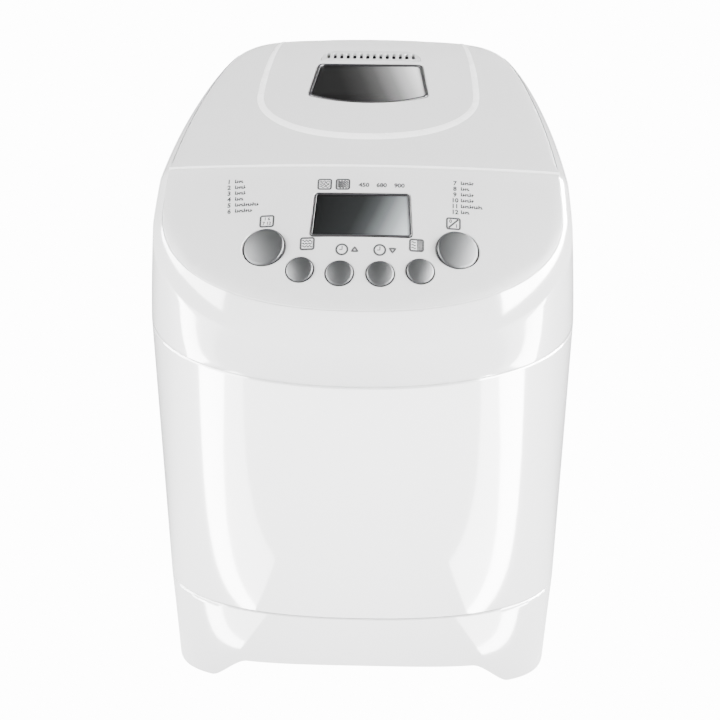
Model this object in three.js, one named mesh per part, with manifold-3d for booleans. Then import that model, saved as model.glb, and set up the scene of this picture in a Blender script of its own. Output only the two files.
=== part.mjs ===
// A countertop bread machine: a tapered three-piece housing, a sloping control panel
// with six push buttons, a hinged lid with a viewing window, and inside it an oven
// chamber, a lift-out pan and a belt drive to the kneading paddle.
// Millimetres, +Z up, front towards -Y, origin on the ground under the middle.

import * as THREE from 'three';
import { mergeVertices } from 'three/addons/utils/BufferGeometryUtils.js';
import Module from 'manifold-3d';

const wasm = await Module();
wasm.setup();

// ---------------------------------------------------------------- driving dimensions
const WIDTH = 228.5;
const DEPTH = 306;
const HEIGHT = 296;
const FRONT = -DEPTH / 2;
const REAR = DEPTH / 2;
const WALL = 2.6;                         // moulded housing wall
const CLEAR = 0.3;                        // gap between pieces that touch
const SEAM = 0.5;                         // open seam between housing shells
const BASE_SEAM_Z = 50;
const COLLAR_SEAM_Z = 215.6;
const SPLIT_Y = FRONT + 100;              // joint line between lid and control panel
const SPLIT_Z = HEIGHT - 3.4;             // top of the joint line at the centre
const PANEL_LENGTH = 84;                  // joint line to front edge of the panel
const PANEL_DROP = 40;                    // fall of the panel over that length
const CROWN = 3;                          // fall of the top from centre to side edge
const DOME = 11;                          // extra fall of the panel's front corners
const CROWN_HALF = 104;
const TOP_THICK = 2.5;                    // lid and panel skin
const ARCH_HEIGHT = 14;                   // clear height under the skirt
const DECK_Z = 262;                       // top deck inside the collar
const CHAMBER_Y = 38;                     // centre of oven, pan and drive shaft
const CHAMBER_HALF = 76;
const CHAMBER_FLOOR_Z = 58;
const PAN_HALF = 64;
const PAN_FLOOR_Z = 74;
const PAN_TOP_Z = 215;
const MOTOR_Y = -92;
const MOTOR_RADIUS = 35;
const PULLEY_Z = 26;                      // underside of both pulleys
const PULLEY_WIDTH = 9;
const DRIVEN_RADIUS = 38;
const PINION_RADIUS = 9.5;
const HINGE_Y = 138;                      // lid hinge axis, parallel to X
const HINGE_Z = 278;
const HINGE_X = 30;                       // centre of each hinge, left and right

// Plan outlines of the housing at four heights. The front is a superellipse from the
// widest station forwards, the sides bow in towards a gently rounded rear.
const FOOT_PLAN = { half: 107.5, front: -136, station: -88, power: 4.4, rear: 147 };
const SEAM_PLAN = { half: 111.4, front: -137.2, station: -88.5, power: 2.35, rear: 149.5 };
const WAIST_PLAN = { half: WIDTH / 2, front: FRONT, station: -78, power: 2.15, rear: REAR };
const BAND_PLAN = { half: 110.9, front: -145, station: -78, power: 2.15, rear: 150 };
const PANEL_FRONT = SPLIT_Y - PANEL_LENGTH;
const EDGE_PLAN = { half: 105.6, front: PANEL_FRONT, station: -78, power: 2.15, rear: 145.5 };
const COLLAR_MOUTH = { ...EDGE_PLAN, rear: 147.5 };
const REAR_POWER = 11;                    // how square the rear corners are
const SIDE_BOW = 0.272;                   // share of the half width lost at the rear
const BOW_POWER = 1.38;                   // how early the sides start to close in
const REAR_BOW = 0.0046;                  // fall of the rear face per x squared

// ---------------------------------------------------------------- colours
const COLOR = {
  shell: 0xf4f4f5,
  top: 0xdcdcdd,
  white: 0xffffff,
  button: 0xa9abad,
  dark: 0x2b2d30,
  glass: 0x4a4d50,
  steel: 0xb9bcc0,
  coated: 0x3a3b3d,
  rubber: 0x222222,
  copper: 0xb4703a,
  board: 0x1f6b3a,
};
const FINISH = {
  gloss: { roughness: 0.25, metalness: 0 },
  satin: { roughness: 0.5, metalness: 0 },
  metal: { roughness: 0.35, metalness: 0.9 },
  rubber: { roughness: 0.9, metalness: 0 },
};

const machine = new THREE.Group();

function addPart(name, geometry, color, finish) {
  const material = new THREE.MeshStandardMaterial({ color, ...finish });
  const mesh = new THREE.Mesh(geometry, material);
  mesh.name = name;
  machine.add(mesh);
  return mesh;
}

// ---------------------------------------------------------------- solids
function toSolid(geometry) {
  const bare = geometry.clone();
  bare.deleteAttribute('normal');
  bare.deleteAttribute('uv');
  const merged = mergeVertices(bare, 1e-4);
  const vertProperties = new Float32Array(merged.attributes.position.array);
  const triVerts = new Uint32Array(merged.index.array);
  return new wasm.Manifold(new wasm.Mesh({ numProp: 3, vertProperties, triVerts }));
}

// The main body of a solid: a cut that grazes a surface can leave a sliver beside it.
function mainBody(solid) {
  return solid.decompose().reduce((best, body) => (body.volume() > best.volume() ? body : best));
}

function toGeometry(solid) {
  const mesh = mainBody(solid).getMesh();
  const geometry = new THREE.BufferGeometry();
  geometry.setAttribute('position', new THREE.BufferAttribute(new Float32Array(mesh.vertProperties), 3));
  geometry.setIndex(new THREE.BufferAttribute(new Uint32Array(mesh.triVerts), 1));
  geometry.computeVertexNormals();
  return geometry;
}

function cut(geometry, ...tools) {
  const solid = tools.reduce((body, tool) => body.subtract(toSolid(tool)), toSolid(geometry));
  return toGeometry(solid);
}

function join(geometry, ...others) {
  const solid = others.reduce((body, other) => body.add(toSolid(other)), toSolid(geometry));
  return toGeometry(solid);
}

function intersect(geometry, other) {
  return toGeometry(toSolid(geometry).intersect(toSolid(other)));
}

// Skin a list of rings that all have the same number of points. Rings run anticlockwise
// seen from above, and the skin runs up the outside. A closed list makes a tube wall;
// otherwise the two end rings are capped by a fan about their middle.
function loft(rings, closed = false) {
  const count = rings[0].length;
  const points = rings.flat();
  const index = [];
  const last = closed ? rings.length : rings.length - 1;
  for (let r = 0; r < last; r += 1) {
    const low = r * count;
    const high = ((r + 1) % rings.length) * count;
    for (let i = 0; i < count; i += 1) {
      const j = (i + 1) % count;
      index.push(low + i, low + j, high + j);
      index.push(low + i, high + j, high + i);
    }
  }
  const cap = (row, up) => {
    const middle = new THREE.Vector3();
    rings[row].forEach((p) => middle.addScaledVector(p, 1 / count));
    points.push(middle);
    for (let i = 0; i < count; i += 1) {
      const edge = [row * count + i, row * count + (i + 1) % count];
      index.push(...(up ? edge : edge.reverse()), points.length - 1);
    }
  };
  if (!closed) {
    cap(0, false);
    cap(rings.length - 1, true);
  }
  const geometry = new THREE.BufferGeometry();
  const position = new Float32Array(points.flatMap((p) => [p.x, p.y, p.z]));
  geometry.setAttribute('position', new THREE.BufferAttribute(position, 3));
  geometry.setIndex(index);
  return geometry;
}

function box(width, depth, height, x, y, z) {
  return new THREE.BoxGeometry(width, depth, height).translate(x, y, z + height / 2);
}

function cylinder(radius, height, x, y, z, sides = 16) {
  const geometry = new THREE.CylinderGeometry(radius, radius, height, sides);
  return geometry.rotateX(Math.PI / 2).translate(x, y, z + height / 2);
}

function rodAlongY(radius, length, x, y, z) {
  const rod = cylinder(radius, length, 0, 0, -length / 2, 16);
  return rod.rotateX(Math.PI / 2).translate(x, y, z);
}

function tube(outer, inner, height, x, y, z, sides = 20) {
  const blank = cylinder(outer, height, x, y, z, sides);
  return cut(blank, cylinder(inner, height + 2, x, y, z - 1, sides));
}

function lathe(profile, sides = 32) {
  const points = profile.map(([r, z]) => new THREE.Vector2(r, z));
  return new THREE.LatheGeometry(points, sides).rotateX(Math.PI / 2);
}

function roundedRect(halfX, halfY, radius, grow = 0) {
  const shape = new THREE.Shape();
  const x = halfX + grow;
  const y = halfY + grow;
  const r = radius + grow;
  shape.moveTo(x, r - y);
  shape.absarc(x - r, y - r, r, 0, Math.PI / 2);
  shape.absarc(r - x, y - r, r, Math.PI / 2, Math.PI);
  shape.absarc(r - x, r - y, r, Math.PI, 1.5 * Math.PI);
  shape.absarc(x - r, r - y, r, 1.5 * Math.PI, 2 * Math.PI);
  return shape;
}

function plate(shape, height, x, y, z, curveSegments = 3) {
  const options = { depth: height, bevelEnabled: false, curveSegments };
  return new THREE.ExtrudeGeometry(shape, options).translate(x, y, z);
}

function wire(curve, radius, steps, sides = 8) {
  const section = new THREE.Shape();
  section.absarc(0, 0, radius, 0, 2 * Math.PI);
  const options = { extrudePath: curve, steps, curveSegments: sides / 2, bevelEnabled: false };
  return new THREE.ExtrudeGeometry(section, options);
}

// ---------------------------------------------------------------- housing outlines
const FRONT_STEPS = 8;
const SIDE_SHARES = [0.2, 0.4, 0.56, 0.68];
const CORNER_ANGLES = [0.2, 0.785, 1.37];
const REAR_SHARES = [0.66, 0.33];

function rearPoint(plan, across, along) {
  const x = plan.half * across * (1 - SIDE_BOW * along ** BOW_POWER);
  const reach = plan.rear - plan.station;
  const y = plan.station + reach * along - REAR_BOW * x * x * along ** 4;
  return [x, y];
}

function planPoints(plan) {
  const side = [];
  const reach = plan.station - plan.front;
  for (let i = 0; i <= FRONT_STEPS; i += 1) {
    const angle = (i / FRONT_STEPS) * Math.PI / 2;
    const across = Math.sin(angle) ** (2 / plan.power);
    const along = Math.cos(angle) ** (2 / plan.power);
    side.push([plan.half * across, plan.station - reach * along]);
  }
  for (const along of SIDE_SHARES) {
    side.push(rearPoint(plan, (1 - along ** REAR_POWER) ** (1 / REAR_POWER), along));
  }
  for (const angle of CORNER_ANGLES) {
    const across = Math.cos(angle) ** (2 / REAR_POWER);
    side.push(rearPoint(plan, across, Math.sin(angle) ** (2 / REAR_POWER)));
  }
  for (const across of REAR_SHARES) {
    side.push(rearPoint(plan, across, (1 - across ** REAR_POWER) ** (1 / REAR_POWER)));
  }
  side.push(rearPoint(plan, 0, 1));
  const mirrored = side.slice(1, -1).reverse().map(([x, y]) => [-x, y]);
  return [...side, ...mirrored];
}

function inset(plan, amount) {
  return {
    ...plan,
    half: plan.half - amount,
    front: plan.front + amount,
    rear: plan.rear - amount,
  };
}

function blendPlans(low, high, share) {
  const mixed = {};
  for (const key of Object.keys(low)) {
    mixed[key] = low[key] + (high[key] - low[key]) * share;
  }
  return mixed;
}

function ring(plan, height) {
  const level = typeof height === 'function' ? height : () => height;
  return planPoints(plan).map(([x, y]) => new THREE.Vector3(x, y, level(x, y)));
}

// ---------------------------------------------------------------- top surface
const LID_CREST_Y = 20;
const LID_REAR_POWER = 5.6;
const LID_REAR_FALL = 8.3;
const LID_REAR_REACH = 115;
const REAR_CROWN = 4;                     // extra fall of the lid's sides at the rear

function panelDrop(forward) {
  const share = forward / PANEL_LENGTH;
  return PANEL_DROP * (0.756 * share + 0.244 * share ** 4);
}

function topZ(x, y) {
  const across = (x / CROWN_HALF) ** 2;
  const forward = SPLIT_Y - y;
  if (forward > 0) {
    return SPLIT_Z - panelDrop(forward) - (CROWN + DOME * forward / PANEL_LENGTH) * across;
  }
  if (y < LID_CREST_Y) {
    const share = (LID_CREST_Y - y) / (LID_CREST_Y - SPLIT_Y);
    return HEIGHT - (HEIGHT - SPLIT_Z) * share ** 2 - CROWN * across;
  }
  const share = (y - LID_CREST_Y) / LID_REAR_REACH;
  return HEIGHT - LID_REAR_FALL * share ** LID_REAR_POWER - (CROWN + REAR_CROWN * share ** 2) * across;
}

function panelNormal(x, y) {
  const step = 0.5;
  const slopeX = (topZ(x + step, y) - topZ(x - step, y)) / (2 * step);
  const slopeY = (topZ(x, y + step) - topZ(x, y - step)) / (2 * step);
  return new THREE.Vector3(-slopeX, -slopeY, 1).normalize();
}

// Height of the collar's inner edge: it follows the top surface and dips at the rear
// so that the lid's rear skirt can swing down.
const RIM_REAR_Z = 274;

function rimZ(x, y) {
  const dip = THREE.MathUtils.smoothstep(y, 100, 132);
  const edge = topZ(x, Math.min(y, 110)) - 1.2;
  return edge + (RIM_REAR_Z - edge) * dip;
}

function bandDrop(x, y) {
  const frontness = THREE.MathUtils.clamp((WAIST_PLAN.station - y) / 67, 0, 1);
  const rear = THREE.MathUtils.smoothstep(y, 100, 132);
  return (5.5 + 7.3 * frontness) * (1 - rear) + 3 * rear;
}

// ---------------------------------------------------------------- lid and panel outlines
// Half width of an outline where it crosses a line parallel to X.
function halfWidthAt(points, lineY) {
  const after = (i) => points[(i + 1) % points.length];
  const i = points.findIndex(([x, y], k) => x > 0 && (y - lineY) * (after(k)[1] - lineY) <= 0);
  const [x, y] = points[i];
  const share = (lineY - y) / (after(i)[1] - y);
  return x + (after(i)[0] - x) * share;
}

// Outline on one side of the joint line, closed by straight steps along the line.
function clippedEdge(plan, keepFront, splitY, straightSteps) {
  const outline = planPoints(plan);
  const points = outline.filter(([, y]) => (keepFront ? y < splitY - 1 : y > splitY + 1));
  let start = 0;
  for (let i = 0; i < points.length; i += 1) {
    const next = points[(i + 1) % points.length];
    const jump = Math.abs(next[0] - points[i][0]) > plan.half;
    if (jump) start = (i + 1) % points.length;
  }
  const ordered = [...points.slice(start), ...points.slice(0, start)];
  const lastPoint = ordered[ordered.length - 1];
  const from = Math.sign(lastPoint[0]) * halfWidthAt(outline, splitY);
  const straight = [];
  for (let i = 0; i <= straightSteps; i += 1) {
    straight.push([from * (1 - 2 * i / straightSteps), splitY]);
  }
  return [...ordered, ...straight];
}

function scaled(outline, centreY, share) {
  return outline.map(([x, y]) => [x * share, centreY + (y - centreY) * share]);
}

// A thin domed cap that follows the top surface, with a skirt hanging at its edge.
function skirtedCap(outline, centreY, skirtDepth, edgeRound) {
  const shares = [0.72, 0.4, 0.08];
  const level = (x, y, at, offset) => new THREE.Vector3(x, y, topZ(...at) + offset);
  const lift = (points, offset) => points.map(([x, y]) => level(x, y, [x, y], offset));
  const shrink = (amount) => scaled(outline, centreY, 1 - amount / 100);
  const under = [0.08, 0.5].map((s) => lift(scaled(outline, centreY, s), -TOP_THICK));
  const over = shares.map((s) => lift(scaled(outline, centreY, s), 0));
  const inner = scaled(outline, centreY, 1 - TOP_THICK / 100);
  const rings = [
    ...under,
    lift(inner, -TOP_THICK),
    inner.map(([x, y], i) => level(x, y, outline[i], -skirtDepth)),
    lift(outline, -skirtDepth),
    lift(outline, -edgeRound),
    shrink(0.35 * edgeRound).map(([x, y], i) => level(x, y, outline[i], -0.3 * edgeRound)),
    lift(shrink(1.3 * edgeRound), 0),
    ...over,
  ];
  return loft(rings);
}

// ---------------------------------------------------------------- housing shells
function housingWall(lowPlan, highPlan, lowZ, highZ) {
  return loft([
    ring(lowPlan, lowZ),
    ring(highPlan, highZ),
    ring(inset(highPlan, WALL), highZ),
    ring(inset(lowPlan, WALL), lowZ),
  ], true);
}

function archTool(halfWidth, length, alongX) {
  const arch = new THREE.Shape();
  const shoulder = halfWidth - 12;
  const waist = halfWidth - 5;
  arch.moveTo(-halfWidth, -5);
  arch.lineTo(-halfWidth, 0.5);
  arch.bezierCurveTo(-waist, 0.8, -waist, ARCH_HEIGHT, -shoulder, ARCH_HEIGHT);
  arch.lineTo(shoulder, ARCH_HEIGHT);
  arch.bezierCurveTo(waist, ARCH_HEIGHT, waist, 0.8, halfWidth, 0.5);
  arch.lineTo(halfWidth, -5);
  arch.closePath();
  const options = { depth: length, bevelEnabled: false, curveSegments: 6 };
  const tool = new THREE.ExtrudeGeometry(arch, options).rotateX(Math.PI / 2);
  tool.translate(0, length / 2, 0);
  return alongX ? tool.rotateZ(Math.PI / 2) : tool;
}

const FOOT_SPOTS = [
  { name: 'front_left', x: -82, y: -104 },
  { name: 'front_right', x: 82, y: -104 },
  { name: 'rear_left', x: -62, y: 104 },
  { name: 'rear_right', x: 62, y: 104 },
];
const FLOOR_Z = 16;
const FLOOR_THICK = 2.5;
const FOOT_HEIGHT = 3.4;
const SKIRT_BOTTOM_Z = 0.8;
const FRONT_ARCH_HALF = 86;               // half widths of the cut-outs under the skirt
const REAR_ARCH_HALF = 48;
const SIDE_ARCH_HALF = 74;
const SCREW_INSET = 0.62;                 // screw's x as a share of the foot's

function baseTray() {
  const top = BASE_SEAM_Z - SEAM / 2;
  const skirt = housingWall(FOOT_PLAN, SEAM_PLAN, SKIRT_BOTTOM_Z, top);
  const floorPlan = inset(blendPlans(FOOT_PLAN, SEAM_PLAN, FLOOR_Z / top), WALL * 0.35);
  const floor = loft([ring(floorPlan, FLOOR_Z), ring(floorPlan, FLOOR_Z + FLOOR_THICK)]);
  const postHeight = FLOOR_Z - FOOT_HEIGHT + 1;
  const posts = FOOT_SPOTS.map(({ x, y }) => cylinder(10, postHeight, x, y, FOOT_HEIGHT + CLEAR));
  const vents = [-2, -1, 0, 1, 2].map((i) => box(4, 46, 8, i * 12, 60, FLOOR_Z - 2));
  const holes = FOOT_SPOTS.map(({ x, y }) => cylinder(1.8, 8, x * SCREW_INSET, y, FLOOR_Z - 4, 8));
  return cut(
    join(skirt, floor, ...posts),
    archTool(FRONT_ARCH_HALF, DEPTH, false).translate(0, -DEPTH / 2, 0),
    archTool(REAR_ARCH_HALF, DEPTH, false).translate(0, DEPTH / 2, 0),
    archTool(SIDE_ARCH_HALF, 2 * WIDTH, true),
    ...holes,
    ...vents,
  );
}

const INLET = { x: 30, z: 70, radius: 7 };

const REAR_SLOTS = { rows: 7, pitch: 8, width: 70, height: 3.2, z: 112 };

function outerWall() {
  const low = BASE_SEAM_Z + SEAM / 2;
  const high = COLLAR_SEAM_Z - SEAM / 2;
  const wall = housingWall(SEAM_PLAN, WAIST_PLAN, low, high);
  const slots = [];
  for (let row = 0; row < REAR_SLOTS.rows; row += 1) {
    const z = REAR_SLOTS.z + row * REAR_SLOTS.pitch;
    slots.push(box(REAR_SLOTS.width, 40, REAR_SLOTS.height, 0, REAR, z));
  }
  const inletHole = cylinder(INLET.radius + CLEAR, 60, 0, 0, -30).rotateX(Math.PI / 2);
  inletHole.translate(INLET.x, REAR - 15, INLET.z);
  return cut(wall, inletHole, ...slots);
}

function collarShell() {
  const low = COLLAR_SEAM_Z + SEAM / 2;
  const bandLow = (x, y) => rimZ(x, y) - bandDrop(x, y);
  const bandMid = (x, y) => rimZ(x, y) - bandDrop(x, y) * 0.42;
  return loft([
    ring(WAIST_PLAN, low),
    ring(BAND_PLAN, bandLow),
    ring(blendPlans(BAND_PLAN, COLLAR_MOUTH, 0.42), bandMid),
    ring(COLLAR_MOUTH, rimZ),
    ring(COLLAR_MOUTH, (x, y) => Math.min(rimZ(x, y) - 8, DECK_Z - DECK_THICK - 1)),
    ring(inset(WAIST_PLAN, WALL), low),
  ], true);
}

const CHAMBER_CORNER = 22;
const DECK_THICK = 3;
const BULKHEAD_Y = SPLIT_Y - 5;

function topCollar() {
  const deckPlan = inset(blendPlans(WAIST_PLAN, BAND_PLAN, 0.8), 1.3);
  const disc = loft([ring(deckPlan, DECK_Z - DECK_THICK), ring(deckPlan, DECK_Z)]);
  const rearHalf = box(300, 400, 40, 0, BULKHEAD_Y + 200, DECK_Z - 20);
  const mouth = plate(chamberSquare(-1.5), 30, 0, CHAMBER_Y, DECK_Z - 15);
  const deck = cut(intersect(disc, rearHalf), mouth);
  const bulkheadHeight = SPLIT_Z - DECK_Z - 8;
  const bulkhead = box(2 * CROWN_HALF - 4, 3, bulkheadHeight, 0, BULKHEAD_Y + 1.5, DECK_Z - 2);
  const lugs = [-1, 1].map((side) => hingeLug(side * (HINGE_X + EYE_OFFSET)));
  return cut(join(collarShell(), deck, bulkhead, ...lugs), hingeBar(PIN_RADIUS + CLEAR, 90, 0));
}

function chamberSquare(grow) {
  return roundedRect(CHAMBER_HALF, CHAMBER_HALF, CHAMBER_CORNER, grow);
}

// ---------------------------------------------------------------- lid hinges
const PIN_RADIUS = 2;
const EYE_OFFSET = 3.5;                   // from the hinge's centre to lug and knuckle

function hingeBar(radius, length, x) {
  const bar = cylinder(radius, length, 0, 0, -length / 2, 16).rotateY(Math.PI / 2);
  return bar.translate(x, HINGE_Y, HINGE_Z);
}

// Room in the lid's rear skirt for a lug.
function lugPocket(x) {
  return box(6.2, 18, 20.5, x, HINGE_Y + 1, HINGE_Z - 14);
}

function hingeLug(x) {
  const post = box(5, 10, HINGE_Z - DECK_Z + 2, x, HINGE_Y - 1, DECK_Z - 2);
  return join(post, hingeBar(5, 5, x));
}

function hingeKnuckle(x) {
  return join(hingeBar(4.6, 6, x), box(6, 6, 6, x, HINGE_Y - 1, HINGE_Z));
}

function hingePin(side) {
  return hingeBar(PIN_RADIUS, 13, side * HINGE_X);
}

// ---------------------------------------------------------------- control panel
const BUTTONS = [
  { name: 'button_menu', x: -50.2, y: -105, radius: 11, lean: 11 },
  { name: 'button_colour', x: -31, y: -118, radius: 7.1, lean: 7 },
  { name: 'button_time_up', x: -10.5, y: -120.3, radius: 7.1, lean: 3 },
  { name: 'button_time_down', x: 10.5, y: -120.3, radius: 7.1, lean: -3 },
  { name: 'button_size', x: 31, y: -118, radius: 7.1, lean: -7 },
  { name: 'button_start', x: 50.2, y: -105, radius: 11, lean: -11 },
];
const BUTTON_TIP = 4;                     // extra forward tip of every button, degrees
const DISPLAY = { y: -86, halfRear: 25, halfFront: 26.4, halfLength: 14.9 };

// Frame of a button or the display: a local Z along the outward normal of the panel.
function panelFrame(x, y, leanDegrees, tipDegrees) {
  const normal = panelNormal(x, y);
  normal.applyAxisAngle(new THREE.Vector3(1, 0, 0), THREE.MathUtils.degToRad(tipDegrees));
  normal.applyAxisAngle(new THREE.Vector3(0, 1, 0), -THREE.MathUtils.degToRad(leanDegrees));
  const turn = new THREE.Quaternion().setFromUnitVectors(new THREE.Vector3(0, 0, 1), normal);
  const matrix = new THREE.Matrix4().makeRotationFromQuaternion(turn);
  return matrix.setPosition(x, y, topZ(x, y));
}

function displayShape(grow) {
  const shape = new THREE.Shape();
  const rear = DISPLAY.halfRear + grow;
  const front = DISPLAY.halfFront + grow;
  const length = DISPLAY.halfLength + grow;
  const r = 3;
  shape.moveTo(r - front, -length);
  shape.lineTo(front - r, -length);
  shape.quadraticCurveTo(front, -length, front, r - length);
  shape.lineTo(rear, length - r);
  shape.quadraticCurveTo(rear, length, rear - r, length);
  shape.lineTo(r - rear, length);
  shape.quadraticCurveTo(-rear, length, -rear, length - r);
  shape.lineTo(-front, r - length);
  shape.quadraticCurveTo(-front, -length, r - front, -length);
  return shape;
}

function buttonFrame(button) {
  return panelFrame(button.x, button.y, button.lean, BUTTON_TIP);
}

function displayFrame() {
  return panelFrame(0, DISPLAY.y, 0, 0);
}

function controlPanel() {
  const outline = clippedEdge(inset(EDGE_PLAN, CLEAR + 0.2), true, SPLIT_Y - CLEAR, 6);
  const cap = skirtedCap(outline, -92, 4.6, 0.5);
  const holes = BUTTONS.map((button) => {
    const hole = cylinder(button.radius + CLEAR, 24, 0, 0, -14, 16);
    return hole.applyMatrix4(buttonFrame(button));
  });
  const window = plate(displayShape(CLEAR), 20, 0, 0, -10).applyMatrix4(displayFrame());
  return cut(cap, window, ...holes);
}

function buttonCap(button) {
  const { radius } = button;
  const profile = [
    [0, -4.2], [radius, -4.2], [radius, 1.6], [radius - 1.2, 2.8], [0, 2.5],
  ];
  return lathe(profile, 16).applyMatrix4(buttonFrame(button));
}

function displayLens() {
  return plate(displayShape(0), 2, 0, 0, -2.2).applyMatrix4(displayFrame());
}

function displayModule() {
  return box(48, 26, 4, 0, 0, -6.8).applyMatrix4(displayFrame());
}

const BOARD_DEPTH = 13;                   // board below the panel surface

function controlBoard() {
  const frame = panelFrame(0, -100, 0, 2);
  return box(124, 52, 1.6, 0, 0, -BOARD_DEPTH - 2).applyMatrix4(frame);
}

// ---------------------------------------------------------------- lid
const LID_SKIRT = 9;
const LID_CENTRE_Y = 45;
const WINDOW_BEZEL = 2.4;
const WINDOW = { rearY: 77, frontY: 31, bow: 10, halfRear: 31, halfFront: 34 };
const VENT = { frontY: 83.5, rearY: 98, halfFront: 29.5, halfRear: 26, slots: 14, pitch: 3.9 };

function windowShape(grow) {
  const shape = new THREE.Shape();
  const rear = WINDOW.halfRear + grow;
  const front = WINDOW.halfFront + grow;
  const y0 = WINDOW.frontY - grow;
  const y1 = WINDOW.rearY + grow;
  const r = 4;
  const nose = y0 - WINDOW.bow;
  shape.moveTo(-front + 1, y0);
  shape.bezierCurveTo(-0.72 * front, nose + 4, -0.4 * front, nose, 0, nose);
  shape.bezierCurveTo(0.4 * front, nose, 0.72 * front, nose + 4, front - 1, y0);
  shape.quadraticCurveTo(front + 0.4, y0 + 2, front - 0.2, y0 + 5);
  shape.lineTo(rear, y1 - r);
  shape.quadraticCurveTo(rear, y1, rear - r, y1);
  shape.lineTo(r - rear, y1);
  shape.quadraticCurveTo(-rear, y1, -rear, y1 - r);
  shape.lineTo(-front + 0.2, y0 + 5);
  shape.quadraticCurveTo(-front - 0.4, y0 + 2, -front + 1, y0);
  return shape;
}

function ventShape(grow) {
  const shape = new THREE.Shape();
  const front = VENT.halfFront + grow;
  const rear = VENT.halfRear + grow;
  const y0 = VENT.frontY - grow;
  const y1 = VENT.rearY + grow;
  const r = 5;
  shape.moveTo(-front, y0);
  shape.lineTo(front, y0);
  shape.lineTo(rear + 1, y1 - r);
  shape.quadraticCurveTo(rear, y1, rear - r, y1);
  shape.lineTo(r - rear, y1);
  shape.quadraticCurveTo(-rear, y1, -rear - 1, y1 - r);
  shape.closePath();
  return shape;
}

// U-shaped inlay line: two legs from the rear edge joined by a round front.
const INLAY = {
  halfLeg: 63.5,
  legTaper: 7.5,
  frontY: -25,
  stationY: 34,
  rearY: 131,
  thin: 3.6,
  rearThin: 2,
  thick: 7,
  squareness: 0.9,
};
const INLAY_LEG_STEPS = 3;
const INLAY_ARC_STEPS = 12;

function inlayEdge(half, front, rear, taper) {
  const points = [];
  const legY = (i) => INLAY.stationY + (rear - INLAY.stationY) * i / INLAY_LEG_STEPS;
  const legX = (i) => half - taper * ((legY(i) - INLAY.stationY) / (rear - INLAY.stationY)) ** 2;
  for (let i = INLAY_LEG_STEPS; i > 0; i -= 1) {
    points.push([-legX(i), legY(i)]);
  }
  for (let i = 0; i <= INLAY_ARC_STEPS; i += 1) {
    const angle = Math.PI + Math.PI * i / INLAY_ARC_STEPS;
    const across = Math.sign(Math.cos(angle)) * Math.abs(Math.cos(angle)) ** INLAY.squareness;
    const along = Math.abs(Math.sin(angle)) ** INLAY.squareness;
    points.push([half * across, INLAY.stationY - (INLAY.stationY - front) * along]);
  }
  for (let i = 1; i <= INLAY_LEG_STEPS; i += 1) {
    points.push([legX(i), legY(i)]);
  }
  return points;
}

// A strip between the inlay's two edges that follows the top surface.
function inlayStrip(grow, upper, lower) {
  const rear = INLAY.rearY + grow;
  const { halfLeg, legTaper, frontY, thin, rearThin, thick } = INLAY;
  const outer = inlayEdge(halfLeg + grow, frontY - grow, rear, legTaper);
  const innerTaper = legTaper - thin + rearThin;
  const inner = inlayEdge(halfLeg - thin - grow, frontY + thick + grow, rear, innerTaper);
  const point = ([x, y], offset) => new THREE.Vector3(x, y, topZ(x, y) + offset);
  const section = (i) => [
    point(outer[i], lower), point(inner[i], lower), point(inner[i], upper), point(outer[i], upper),
  ];
  return loft(outer.map((_, i) => section(i)));
}

const INLAY_DEPTH = 0.9;

function lidShell() {
  const outline = clippedEdge(inset(EDGE_PLAN, CLEAR + 0.2), false, SPLIT_Y + CLEAR, 6);
  const cap = skirtedCap(outline, LID_CENTRE_Y, LID_SKIRT, 2.2);
  const windowHole = plate(windowShape(CLEAR), 60, 0, 0, HEIGHT - 40, 5);
  const ventHole = plate(ventShape(CLEAR), 60, 0, 0, HEIGHT - 40, 5);
  const groove = inlayStrip(CLEAR, 6, -INLAY_DEPTH - CLEAR);
  const knuckles = [-1, 1].map((side) => hingeKnuckle(side * (HINGE_X - EYE_OFFSET)));
  const lugRoom = [-1, 1].map((side) => lugPocket(side * (HINGE_X + EYE_OFFSET)));
  const pinHole = hingeBar(PIN_RADIUS + CLEAR, 90, 0);
  return cut(join(cap, ...knuckles), windowHole, ventHole, groove, pinHole, ...lugRoom);
}

function lidTrim() {
  return inlayStrip(0, 0.2, -INLAY_DEPTH);
}

function windowFrame() {
  const shape = windowShape(0);
  shape.holes.push(new THREE.Path(windowShape(-WINDOW_BEZEL).getPoints(5)));
  return plate(shape, 4.5, 0, 0, HEIGHT - 4.5, 5);
}

function windowGlass() {
  return plate(windowShape(-WINDOW_BEZEL - CLEAR), 2.6, 0, 0, HEIGHT - 3.2, 5);
}

function ventGrille() {
  const base = plate(ventShape(0), 4, 0, 0, topZ(0, VENT.frontY) - 4, 5);
  const slots = [];
  for (let i = 0; i < VENT.slots; i += 1) {
    const x = (i - (VENT.slots - 1) / 2) * VENT.pitch;
    slots.push(box(2.3, 7.6, 40, x, VENT.frontY + 6.6, HEIGHT - 30));
  }
  return cut(base, ...slots);
}

const GASKET_THICK = 3;
const LINER_Z = DECK_Z + GASKET_THICK + 2 * CLEAR;
const LINER_HALF = CHAMBER_HALF + 5;
const LINER_THICK = 2.2;

function lidLiner() {
  const square = (grow) => roundedRect(LINER_HALF, LINER_HALF, 35, grow);
  const pan = plate(square(0), 14, 0, CHAMBER_Y - 1, LINER_Z);
  const hollow = plate(square(-LINER_THICK), 20, 0, CHAMBER_Y - 1, LINER_Z + LINER_THICK);
  const opening = plate(windowShape(-4), 60, 0, 0, LINER_Z - 10);
  const steam = plate(ventShape(-4), 60, 0, 0, LINER_Z - 10);
  return cut(pan, hollow, opening, steam);
}

function lidGasket() {
  const outer = chamberSquare(3);
  outer.holes.push(new THREE.Path(chamberSquare(-0.5).getPoints(4)));
  return plate(outer, GASKET_THICK, 0, CHAMBER_Y, DECK_Z + CLEAR);
}

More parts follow.
